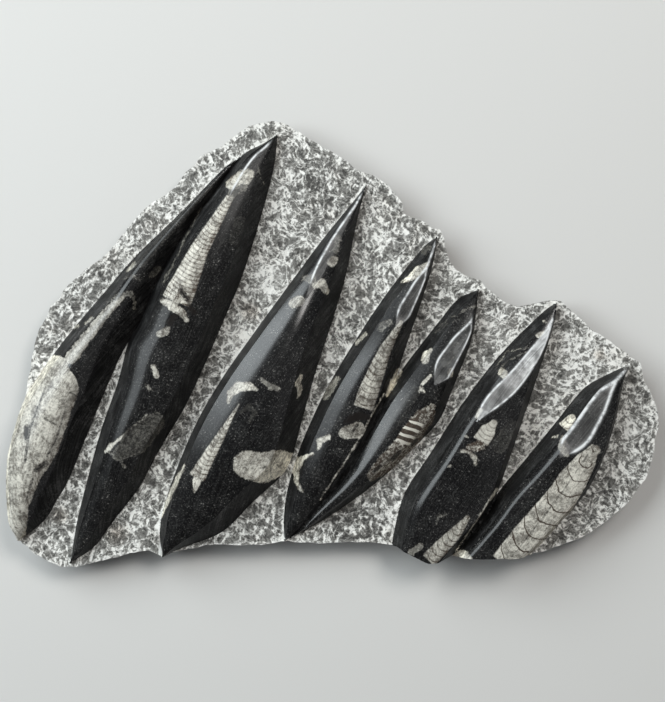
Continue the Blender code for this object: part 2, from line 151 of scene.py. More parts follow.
# The valley between the first two ridges is the foot of both.
FIRST_VALLEY = [(-94.5, 1), (-88.5, 12), (-81, 30), (-69, 51), (-56, 69), (-43, 86)]
RIDGES = {
    "first": {
        "left": [(-144.5, -90.5), (-151, -81), (-152, -67), (-151.5, -51), (-147.5, -37.5),
                 (-143, -26), (-133, -10.5), (-121.5, 5), (-107.5, 21.5), (-91.5, 40),
                 (-70.5, 60.5), (-51.5, 80), (-43, 86)],
        "right": [(-144.5, -90.5), (-133, -81), (-127.5, -72), (-122, -62.5), (-114, -43),
                  (-107, -26), (-99.5, -8.5), *FIRST_VALLEY],
        "heights": [4, 12, 16, 16, 15, 12, 8.5, 6, 1],
        "crest": [0.46, 0.46, 0.46, 0.46, 0.48, 0.48, 0.50, 0.50, 0.50],
        "flanks": (5.0, 7.0),
        "dome": 0.25,
        "facet": (0.50, 0.90, 0.00),
        "dull": [(0.0, 0.10), (0.58, 0.0), (0.70, 0.60)],
    },
    "second": {
        "left": [(-121, -100.5), (-118.5, -83.5), (-114, -65), (-107, -39.5), (-99, -16.5),
                 *FIRST_VALLEY, (-33, 92), (-26, 96)],
        "right": [(-121, -100.5), (-110.5, -93.5), (-101, -81), (-89.5, -66), (-81.5, -51),
                  (-68, -28), (-58.5, -7.5), (-51, 10), (-42, 31.5), (-35, 53.5),
                  (-30, 71), (-27, 84.5), (-26, 96)],
        "heights": [4, 9, 14, 17, 18.5, 18.5, 16, 11, 4],
        "crest": [0.46, 0.46, 0.46, 0.46, 0.44, 0.42, 0.40, 0.42, 0.46],
        "flanks": (6.0, 5.5),
        "dome": 0.22,
        "facet": (0.80, 0.99, 0.14),
        "dull": [(0.0, 0.50), (0.50, 0.60), (0.75, 0.85)],
    },
    "third": {
        "left": [(-78.5, -98), (-80, -88), (-78.5, -76.5), (-72.5, -58), (-62.5, -35),
                 (-50.5, -14.5), (-35, 7.5), (-20, 28), (-6, 47), (6.5, 62.5), (15, 73)],
        "right": [(-78.5, -98), (-70.5, -94), (-51.5, -86.5), (-37.5, -73), (-24.5, -61),
                  (-19.5, -52.5), (-15.2, -37.5), (-8.4, -13), (-0.5, 11), (5.5, 31.5), (10, 53.5),
                  (13, 66), (15, 73)],
        "heights": [5, 11, 17, 20, 21, 19, 14.5, 9.2, 4],
        "crest": [0.48, 0.48, 0.46, 0.44, 0.44, 0.46, 0.41, 0.41, 0.60],
        "flanks": (4.0, 8.0),
        "dome": 0.17,
        "facet": (0.70, 0.97, 0.20),
        "dull": [(0.28, 0.85), (0.46, 0.1), (0.52, 0.0), (0.70, 0.0), (0.80, 0.50)],
    },
    "fourth": {
        "left": [(-22.5, -90.5), (-23, -81), (-21.5, -68), (-16.7, -51), (-10.2, -35),
                 (-2.4, -19), (8, -1.5), (23.5, 22), (40, 43), (47.5, 49.5)],
        "right": [(-22.5, -90.5), (-13, -84), (-3, -74), (8, -60), (16.5, -46), (26, -23),
                  (33.5, -0.5), (41, 21.5), (46, 38.5), (47.5, 49.5)],
        "heights": [3, 8, 12.5, 14.5, 15, 15, 13.2, 10, 4],
        "crest": [0.50, 0.50, 0.50, 0.50, 0.52, 0.56, 0.64, 0.71, 0.70],
        "flanks": (4.5, 5.0),
        "dome": 0.20,
        "facet": (0.70, 0.90, 0.34),
        "dull": [(0.25, 0.85), (0.42, 0.60), (0.50, 0.30), (0.58, 0.35), (0.68, 0.85)],
    },
    "fifth": {
        "left": [(-20, -89), (-15, -84), (-8.5, -74), (2, -60), (10, -46), (22, -25), (30.5, -13),
                 (38, -3), (49, 11), (57, 20.5), (66.5, 25)],
        "right": [(-20, -89), (-10, -84), (6, -74), (23.5, -60.5), (38, -46.5), (48.5, -35),
                  (54.5, -21), (60, -7.5), (64.5, 6.5), (66.5, 25)],
        "heights": [2, 6, 9.5, 12.5, 13.5, 13.5, 12.5, 9.5, 4],
        "crest": [0.50, 0.50, 0.52, 0.54, 0.56, 0.60, 0.66, 0.77, 0.80],
        "flanks": (4.5, 4.5),
        "dome": 0.22,
        "facet": (0.66, 0.89, 0.42),
        "film": [(0.0, 0.08)],
        "dull": [(0.0, 0.35), (0.45, 0.15), (0.54, 0.20), (0.64, 0.85)],
        "rubbed": 0.92,
    },
    "sixth": {
        "left": [(33, -122.5), (27.5, -108.5), (26.5, -95), (29.5, -78.5), (34, -66), (45, -49.5),
                 (59.5, -27), (76.5, -5), (95.5, 14), (102.5, 19)],
        "right": [(33, -122.5), (43, -111), (53, -99.5), (64.5, -85.5), (71.5, -76.5), (76, -66.5),
                  (83, -46.5), (90, -26), (96.5, -6.5), (101, 8.5), (102.5, 19)],
        "heights": [0, 8, 13, 16.5, 18, 17.5, 14.0, 9.2, 4.2],
        "crest": [0.34, 0.31, 0.27, 0.25, 0.25, 0.29, 0.51, 0.68, 0.74],
        "flanks": (5.0, 4.5),
        "dome": 0.16,
        "facet": (0.59, 0.95, 0.31),
        "film": [(0.60, 0.60), (0.67, 0.08), (0.74, 0.35), (0.80, 0.80), (0.92, 0.70)],
        "dull": [(0.0, 0.25)],
        "rubbed": 0.97,
    },
    "seventh": {
        "left": [(42, -118), (51.5, -101), (62.5, -86.5), (69.5, -77.5), (77, -66.5), (87, -54.5),
                 (101, -37.5), (114.5, -21), (125, -14.5), (134.5, -10)],
        "right": [(42, -118), (72, -109.5), (90.5, -96.5), (102.5, -84), (114.5, -70.5),
                  (123, -55.5), (129, -37.5), (132, -23.5), (134.5, -10)],
        "heights": [0, 9, 13, 15.5, 16, 15.8, 14.8, 13.2, 8],
        "crest": [0.40, 0.34, 0.27, 0.24, 0.25, 0.28, 0.34, 0.35, 0.30],
        "flanks": (4.5, 4.0),
        "dome": 0.20,
        "facet": (0.62, 0.93, 0.37),
        "dull": [(0.0, 0.35)],
        "reach": 2.1,
    },
}
STATIONS = 240  # sections along a ridge
TIP_HALF_WIDTH = 0.4  # mm
print("ridges:", ", ".join(RIDGES))

# %% [markdown]
# ## Smooth lines through a few points
#
# The flanks run in easy curves, so their few points are joined by a Catmull-Rom spline, which
# passes through each of them. A Bezier curve would need handles as well. The same spline turns the
# nine heights of a crest into a smooth profile.

# %% Curves
FINE_STEPS = 12  # places on each piece of a line, to measure its length


def catmull_rom(knots, places):
    """Values of a smooth line through knots, at places counted in knots from the first one."""
    knots = np.array(knots, float)
    padded = np.vstack([2 * knots[0] - knots[1], knots, 2 * knots[-1] - knots[-2]])
    at = np.clip(places.astype(int), 0, len(knots) - 2)
    a, b, c, d = (padded[at + i] for i in range(4))
    s = (places - at)[:, None]
    return 0.5 * (2 * b + (c - a) * s + (2 * a - 5 * b + 4 * c - d) * s**2
                  + (3 * b - a - 3 * c + d) * s**3)


def smooth_line(knots, count):
    """count evenly spaced points along the smooth line through knots."""
    fine = catmull_rom(knots, np.linspace(0, len(knots) - 1, FINE_STEPS * len(knots)))
    reach = np.concatenate([[0], np.cumsum(np.linalg.norm(np.diff(fine, axis=0), axis=1))])
    goals = np.linspace(0, reach[-1], count)
    return np.column_stack([np.interp(goals, reach, fine[:, i]) for i in (0, 1)])


def along_ridge(values, t):
    """A smooth line through evenly spaced values, at stations t from 0 to 1."""
    return catmull_rom([[value] for value in values], t * (len(values) - 1))[:, 0]


for ridge in RIDGES.values():
    feet = [smooth_line(ridge[side], STATIONS) for side in ("left", "right")]
    across = feet[0][1] - feet[1][1]
    across *= TIP_HALF_WIDTH / np.linalg.norm(across)
    for end in (0, -1):
        feet[0][end] += across
        feet[1][end] -= across
    ridge["feet"] = feet
    middle = (feet[0] + feet[1]) / 2
    ridge["length"] = float(np.linalg.norm(np.diff(middle, axis=0), axis=1).sum())
print("lengths in mm:", [round(ridge["length"]) for ridge in RIDGES.values()])

# %% [markdown]
# ## A ridge's cross-section
#
# From the foot a steep flank goes up, straight from the grinder. Over it the crown is rounded and
# polished, and high on the ridge the crown is ground flat. Each is a formula in the share of the
# way across, so a point anywhere on the slab can ask for its height.

# %% Sections
FLANK_LIMIT = 0.5  # the most of the way to the crest that a flank takes
FACET_LIMIT = 0.85  # the most of the way to a flank that the lozenge takes
LOZENGE_BLUNT = 1.35  # 1 for a diamond, more for one with a long, even middle
CREST_SEAM = 0.01  # the share of the width that stays flat along the crest, beyond the lozenge
TIP_START = 0.6  # the station from which the dome flattens towards the upper tip
TIP_FLATNESS = 0.55  # how much of the dome is gone at the upper tip
FOOT_SINK = 0.4  # mm that the feet lie under the field


def shares(ridge, t, width):
    """Where a section's parts meet, as shares of its width: flanks, facet edges and crest."""
    crest = along_ridge(ridge["crest"], t)
    left = np.minimum(ridge["flanks"][0] / width, FLANK_LIMIT * crest)
    right = np.minimum(ridge["flanks"][1] / width, FLANK_LIMIT * (1 - crest))
    start, end, widest = ridge["facet"]
    span = np.clip((t - start) / (end - start), 0, 1)
    opened = np.clip(LOZENGE_BLUNT * (1 - abs(2 * span - 1)), 0, 1)
    facet = CREST_SEAM + widest * np.sin(math.pi / 2 * opened)
    reach_left, reach_right = crest - left, 1 - right - crest
    return {
        "left": left,
        "right": 1 - right,
        "crest": crest,
        "facet_left": crest - np.minimum(facet / 2, reach_left * FACET_LIMIT),
        "facet_right": crest + np.minimum(facet / 2, reach_right * FACET_LIMIT),
    }


def flank_top(ridge, t):
    """How much of the crest's height the flanks take. The rest is the crown's low dome."""
    late = np.clip((t - TIP_START) / (1 - TIP_START), 0, 1)
    return 1 - ridge["dome"] * (1 - TIP_FLATNESS * late * late * (3 - 2 * late))


def rise(ridge, t, s, parts):
    """The share of the crest's height at station t and share s of the way across."""
    top = flank_top(ridge, t)
    left_side = s < parts["crest"]
    edge = np.where(left_side, parts["left"], parts["right"])
    reach = np.abs(parts["crest"] - edge)
    off = np.clip(np.abs(s - parts["crest"]) / reach, 0, 1)
    crown = 1 - (1 - top) * off**2
    foot = np.where(left_side, s / parts["left"], (1 - s) / (1 - parts["right"]))
    outside = (s < parts["left"]) | (s > parts["right"])
    height = np.where(outside, top * foot, crown)
    ends = []
    for name, side in (("facet_left", "left"), ("facet_right", "right")):
        share = np.abs(parts[name] - parts["crest"]) / np.abs(parts[side] - parts["crest"])
        ends.append(1 - (1 - top) * share**2)
    flat = (s > parts["facet_left"]) & (s < parts["facet_right"])
    along = (s - parts["facet_left"]) / (parts["facet_right"] - parts["facet_left"])
    return np.where(flat, ends[0] + (ends[1] - ends[0]) * along, height)


middle = shares(RIDGES["third"], t=np.array([0.5]), width=40.0)
print("the third ridge's middle:", {part: round(float(at[0]), 2) for part, at in middle.items()})

# %% [markdown]
# ## Where a point lies on a ridge
#
# The sections sweep along a ridge like the rungs of a ladder. For a point, the last rung behind it
# gives the station, and the place between the two feet gives the share across. NumPy tests every
# point against every rung at once, which is far quicker than a search in a Python loop.

# %% Ridge coordinates
NEARBY = 1  # mm round a ridge's own box in which its points are looked for


def ridge_coordinates(ridge, points):
    """The station, share across and width at each point, and whether it lies on the ridge."""
    left, right = ridge["feet"]
    rung = right - left
    t, s, width = (np.zeros(len(points)) for _ in range(3))
    both = np.vstack(ridge["feet"])
    low, high = both.min(0) - NEARBY, both.max(0) + NEARBY
    near = np.flatnonzero(np.all((points >= low) & (points <= high), axis=1))
    p = points[near]
    ahead = (rung[:, 0] * (p[:, 1:2] - left[:, 1]) - rung[:, 1] * (p[:, 0:1] - left[:, 0])) > 0
    last = np.clip(ahead.sum(axis=1) - 1, 0, STATIONS - 2)
    rows = np.arange(len(p))
    good = ahead[rows, last] & ~ahead[rows, last + 1]

    def side(i):
        return rung[i, 0] * (p[:, 1] - left[i, 1]) - rung[i, 1] * (p[:, 0] - left[i, 0])

    before, after = side(last), side(last + 1)
    part = np.where(good, before / np.where(good, before - after, 1), 0)
    start = left[last] + (left[last + 1] - left[last]) * part[:, None]
    end = right[last] + (right[last + 1] - right[last]) * part[:, None]
    span = end - start
    square = (span**2).sum(1)
    t[near] = (last + part) / (STATIONS - 1)
    s[near] = ((p - start) * span).sum(1) / square
    width[near] = np.sqrt(square)
    inside = np.zeros(len(points), bool)
    inside[near] = good & (s[near] >= 0) & (s[near] <= 1)
    return t, s, width, inside


def line_at(ridge, name):
    """The run along a ridge where two parts of its section meet, in millimetres."""
    left, right = ridge["feet"]
    t = np.linspace(0, 1, STATIONS)
    width = np.linalg.norm(right - left, axis=1)
    share = {"foot_left": 0 * t, "foot_right": 0 * t + 1, **shares(ridge, t, width)}[name]
    return left + (right - left) * share[:, None]


centre = np.zeros((1, 2))
covering = [name for name, ridge in RIDGES.items() if ridge_coordinates(ridge, centre)[3][0]]
print("the plaque's centre lies on:", covering or "the field")

# %% [markdown]
# ## The sharp lines of the face
#
# The face is one sheet of triangles. A grid of squares would cut the sharp lines of the carving
# into steps, so the points come in two kinds. The first are rows of points exactly on the rim and
# on each sharp line: the feet, the tops of the flanks and the edges of the lozenges. Where a line
# leaves the slab, or runs so close to the crest that the two are one, it is dropped.

# %% Points on lines
LINE_STEP = 2  # stations between points on a sharp line
NARROW = 0.45  # mm: closer than this, two lines are one


def inside_run(points, run):
    """Whether each point lies inside a closed run, by counting crossings to its right."""
    odd = np.zeros(len(points), bool)
    for a, b in zip(run, np.roll(run, -1, axis=0)):
        if a[1] == b[1]:
            continue
        crosses = (points[:, 1] < a[1]) != (points[:, 1] < b[1])
        x = a[0] + (points[:, 1] - a[1]) / (b[1] - a[1]) * (b[0] - a[0])
        odd ^= crosses & (points[:, 0] < x)
    return odd


sharp_runs = []
for ridge in RIDGES.values():
    names = ["foot_left", "foot_right", "left", "right"]
    if ridge["facet"][2] > 0:
        names += ["facet_left", "facet_right"]
    middle = line_at(ridge, "crest")[::LINE_STEP]
    for name in names:
        run = line_at(ridge, name)[::LINE_STEP]
        clear = np.linalg.norm(run - middle, axis=1) > NARROW
        keep = clear & inside_run(run, top_edge)
        for i in range(len(run) - 1):
            if keep[i] and keep[i + 1]:
                sharp_runs.append((run[i], run[i + 1]))

fixed = [tuple(p) for p in top_edge]
edges = [(i, (i + 1) % len(fixed)) for i in range(len(fixed))]
known = {}
for pair in sharp_runs:
    ends = []
    for p in pair:
        key = (round(float(p[0]), 3), round(float(p[1]), 3))
        if key not in known:
            known[key] = len(fixed)
            fixed.append(tuple(p))
        ends.append(known[key])
    edges.append(tuple(ends))
print("lines:", len(edges), "edges between", len(fixed), "points")

# %% [markdown]
# ## The points between the lines
#
# The second kind is a scatter of evenly spaced points, laid as hexagons because those give the most
# even triangles. Each is shaken a little, so that no straight rows show in a reflection, and none
# stands so close to a line that it would pull a thin triangle out of it.

# %% Points between lines
SPACING = 0.78  # mm between points of the face
SHAKE = 0.14  # the share of the spacing that a point is moved by, at most
CLEARANCE = 0.55  # the share of the spacing that stays free beside a line


def hexagons(spacing, seed):
    """Evenly scattered points over the whole plaque, each one shaken a little."""
    dice = np.random.default_rng(seed)
    xs = np.arange(-HALF_LENGTH, HALF_LENGTH, spacing)
    ys = np.arange(-HALF_WIDTH, HALF_WIDTH, spacing * math.sqrt(3) / 2)
    x, y = np.meshgrid(xs, ys)
    x[1::2] += spacing / 2
    points = np.column_stack([x.ravel(), y.ravel()])
    return points + dice.uniform(-SHAKE, SHAKE, points.shape) * spacing


def nearest_among(points):
    """A tree that finds the nearest of these points quickly."""
    tree = kdtree.KDTree(len(points))
    for i, p in enumerate(points):
        tree.insert((*p, 0), i)
    tree.balance()
    return tree


tree_of_rim, tree_of_lines = nearest_among(top_edge), nearest_among(fixed)
loose = hexagons(SPACING, seed=5)
loose = loose[inside_run(loose, top_edge)]
loose = [tuple(p) for p in loose if tree_of_lines.find((*p, 0))[2] > SPACING * CLEARANCE]
print("points:", len(fixed), "on lines and", len(loose), "between")

# %% [markdown]
# ## The triangles of the face
#
# A Delaunay triangulation joins all the points and keeps the sharp lines as edges. Blender's own
# also cuts lines that cross, which they do in the valleys, and leaves out what is off the slab.

# %% Triangles
SAME_POINT = 0.02  # mm: points closer than this are joined
INSIDE_ONLY = 1  # the kind of result that keeps the triangles inside the rim

everywhere = [Vector(p) for p in fixed + loose]
flat, _, triangles, *_ = delaunay_2d_cdt(everywhere, edges, [], INSIDE_ONLY, SAME_POINT)
face_points = np.array([tuple(p) for p in flat])
triangles = np.array([tri for tri in triangles if len(tri) == 3])
print("face:", len(face_points), "points and", len(triangles), "triangles")

# %% [markdown]
# ## Chisel work on the field
#
# A carver bruises the field with a bush of small blows, each a short dent that crushes the stone
# white. They could be a noise texture alone, but then the light wouldn't catch them from the side.
# So a few thousand dents are drawn on a fine grid, like brush strokes on a sheet, and the sheet is
# read back as depth here and as colour in the material.

# %% Chisel marks
GRID_STEP = 0.3  # mm
BLOWS = 8000
BLOW_LENGTH = (2.2, 6.0)  # mm
BLOW_WIDTH = (0.9, 1.8)  # mm
BLOW_DEPTH = 0.5  # mm
BLOW_FORCE = (0.45, 1.0)  # how deep and white a blow is, as a share of the hardest one
BLOW_BEND = 0.5  # how far a blow's middle is bent aside, in its half widths
# Where the carver stood decides which way the blows run: x, y, direction in degrees.
STANCES = [(-100, 40, 60), (-20, 60, 105), (20, 20, 80), (55, 5, 35), (95, -25, 5), (90, 5, 30),
           (135, -30, 100), (130, -70, 130), (-50, -75, 70), (0, -80, 95), (-90, -60, 75)]
BLOW_SPREAD = 30  # degrees


def chisel_sheet(seed):
    """A grid over the plaque with each blow drawn as a short curved dent, 1 at its deepest."""
    dice = np.random.default_rng(seed)
    columns, rows = (round(2 * half / GRID_STEP) + 1 for half in (HALF_LENGTH, HALF_WIDTH))
    sheet = np.zeros((rows, columns), np.float32)
    stances = np.array(STANCES, float)
    for _ in range(BLOWS):
        x = dice.uniform(1 - HALF_LENGTH, HALF_LENGTH - 1)
        y = dice.uniform(1 - HALF_WIDTH, HALF_WIDTH - 1)
        nearest = np.argmin((stances[:, 0] - x) ** 2 + (stances[:, 1] - y) ** 2)
        turn = math.radians(stances[nearest, 2] + dice.normal(0, BLOW_SPREAD))
        half, wide = dice.uniform(*BLOW_LENGTH) / 2, dice.uniform(*BLOW_WIDTH) / 2
        bend, force = dice.uniform(-BLOW_BEND, BLOW_BEND), dice.uniform(*BLOW_FORCE)
        c0, c1 = (int((x + HALF_LENGTH + off) / GRID_STEP) for off in (-half, half))
        r0, r1 = (int((y + HALF_WIDTH + off) / GRID_STEP) for off in (-half, half))
        c0, r0 = max(c0, 0), max(r0, 0)
        gx = np.arange(c0, min(c1 + 2, columns)) * GRID_STEP - HALF_LENGTH - x
        gy = (np.arange(r0, min(r1 + 2, rows)) * GRID_STEP - HALF_WIDTH - y)[:, None]
        u = (gx * math.cos(turn) + gy * math.sin(turn)) / half
        v = (-gx * math.sin(turn) + gy * math.cos(turn)) / wide + bend * (1 - u * u)
        dent = force * np.clip(1 - u * u, 0, None) * np.clip(1 - v * v, 0, None)
        window = sheet[r0 : r0 + dent.shape[0], c0 : c0 + dent.shape[1]]
        np.maximum(window, dent, out=window)
    return sheet


sheet = chisel_sheet(seed=11)
print("chisel marks cover", round(float((sheet > 0).mean()) * 100), "percent")

# %% [markdown]
# ## Reading the marks back
#
# The face's points don't lie on the grid, so each one takes the four cells round it in the measure
# in which it is near them. Without that the dents would have the grid's steps.


# %% Marks on the face
def read_sheet(sheet, points):
    """The sheet's value at points in mm, between its cells in a straight line."""
    x = (points[:, 0] + HALF_LENGTH) / GRID_STEP
    y = (points[:, 1] + HALF_WIDTH) / GRID_STEP
    c = np.clip(x.astype(int), 0, sheet.shape[1] - 2)
    r = np.clip(y.astype(int), 0, sheet.shape[0] - 2)
    fx, fy = np.clip(x - c, 0, 1), np.clip(y - r, 0, 1)
    low = sheet[r, c] * (1 - fx) + sheet[r, c + 1] * fx
    high = sheet[r + 1, c] * (1 - fx) + sheet[r + 1, c + 1] * fx
    return low * (1 - fy) + high * fy


bruise = read_sheet(sheet, face_points)
print("mean depth of the marks in mm:", round(float(bruise.mean()) * BLOW_DEPTH, 2))

# %% [markdown]
# ## Which ridge a point is on
#
# A survey asks every ridge about every point, and the highest surface that covers a point wins.
# That alone gives the sharp valleys between neighbours. The survey also notes what the finishes
# need later: how far along and across its ridge a point lies, how near the edges of the lozenge it
# is, for their painted glint and wear, how pale the dust there is, which is also a painted
# highlight, and how much of the polish is worn off.

# %% Survey
WAVES_FADE = 3.0  # mm from a crown's edge over which its waves die out
# The pale edges of the lozenges, set below, are a painted glint as well as wear.
CREASE = 0.25  # a lozenge narrower than this share of the ridge is rubbed on its left edge only
RUB_GLINT_REACH = 1.3  # mm that the rubbing reaches from an edge
RUB_GLINT_START, RUB_GLINT_STOP = 0.05, 0.03  # stations over which the rubbing comes and goes
FIELD, FLANK, CROWN, FACET = range(4)


def survey(points):
    """Which ridge and which part of it each point is on, its height, and where on the ridge."""
    zone = np.full(len(points), FIELD)
    facts = {name: np.zeros(len(points))
             for name in ("z", "along", "across", "arris", "inner", "film", "dull")}
    facts["z"][:] = -1
    for ridge in RIDGES.values():
        t, s, width, inside = ridge_coordinates(ridge, points)
        here = np.flatnonzero(inside)
        t, s, width = t[here], s[here], width[here]
        parts = shares(ridge, t, width)
        height = np.clip(along_ridge(ridge["heights"], t), 0, None)
        z = FIELD_HEIGHT - FOOT_SINK + (height + FOOT_SINK) * rise(ridge, t, s, parts)
        top = z > facts["z"][here]
        here, t, s, width, z = here[top], t[top], s[top], width[top], z[top]
        parts = {name: share[top] for name, share in parts.items()}
        crown = (s > parts["left"]) & (s < parts["right"])
        start, end, widest = ridge["facet"]
        flat = (s > parts["facet_left"]) & (s < parts["facet_right"]) & (t > start) & (t < end)
        zone[here] = np.where(crown, np.where(flat & (widest > 0), FACET, CROWN), FLANK)
        stop = ridge.get("rubbed", 1.0)
        strength = np.clip((t - start) / RUB_GLINT_START, 0, 1) * np.clip((stop - t) / RUB_GLINT_STOP, 0, 1)
        strength *= widest > 0
        edges_off = [abs(s - parts["facet_left"]), abs(s - parts["facet_right"])]
        to_facet = (np.minimum(*edges_off) if widest > CREASE else edges_off[0]) * width
        edge_wear_and_glint = np.clip(1 - to_facet / ridge.get("reach", RUB_GLINT_REACH), 0, 1)
        facts["z"][here] = z
        facts["along"][here] = t * ridge["length"]
        facts["across"][here] = s * width
        facts["arris"][here] = edge_wear_and_glint * strength
        to_flank = np.minimum(s - parts["left"], parts["right"] - s) * width
        facts["inner"][here] = np.clip(to_flank / WAVES_FADE, 0, 1)
        facts["film"][here] = np.interp(t, *zip(*ridge.get("film", [(0.0, 0.0)])))
        facts["dull"][here] = np.interp(t, *zip(*ridge["dull"]))
    return zone, facts


zone, facts = survey(face_points)
on_field = zone == FIELD
triangle_zone, _ = survey(face_points[triangles].mean(axis=1))
print("triangles on field, flanks, crowns and lozenges:", np.bincount(triangle_zone).tolist())

# %% [markdown]
# ## The height of the face
#
# The field rises and falls a little under its chisel marks, and it is gritty, so it gets a slow
# swell, humps and grit. Hand polishing leaves faint waves in the crowns, and they are what makes
# reflections look real. How far each point is from the rim and from a ridge's left foot is kept as
# well, because the field is paler there, along the rim partly as a painted highlight.

# %% Heights
SWELL, SWELL_PITCH = 0.55, 26  # mm high and mm apart
HUMPS, HUMP_PITCH = 0.3, 6.0
GRIT, GRIT_PITCH = 0.16, 1.5
WAVES, WAVE_PITCH = 0.13, 15.0  # on the polished crowns


def distances(tree, points):
    """How far each point is from the nearest one in a tree, in mm."""
    return np.array([tree.find((*p, 0))[2] for p in points])


swell = np.array([noise.noise(Vector((x * MM, y * MM, 0.2)) / (SWELL_PITCH * MM))
                  for x, y in face_points])
grit, humps = rough(face_points, GRIT_PITCH, 4.4), rough(face_points, HUMP_PITCH, 1.3)
ground = FIELD_HEIGHT + SWELL * swell - BLOW_DEPTH * bruise + GRIT * grit + HUMPS * humps
height = np.where(on_field, ground, facts["z"])
height -= WAVES * (1 + rough(face_points, WAVE_PITCH, 2.2)) * facts["inner"]
to_rim = distances(tree_of_rim, face_points)
left_feet = nearest_among(np.vstack([line_at(ridge, "foot_left") for ridge in RIDGES.values()]))
to_foot = distances(left_feet, face_points)
print("heights in mm:", round(float(height.min()), 1), "to", round(float(height.max()), 1))

# %% [markdown]
# ## The shells in the stone
#
# The shells are cut flush, so they are only a change of stone. Each one is a trail: a run of
# points with a radius at each, like a string of beads drawn tight. A long cone is a trail whose
# radius grows, a crescent is a bent one, and a spot has two beads. Painting an image would do it
# too, but it would blur close up.

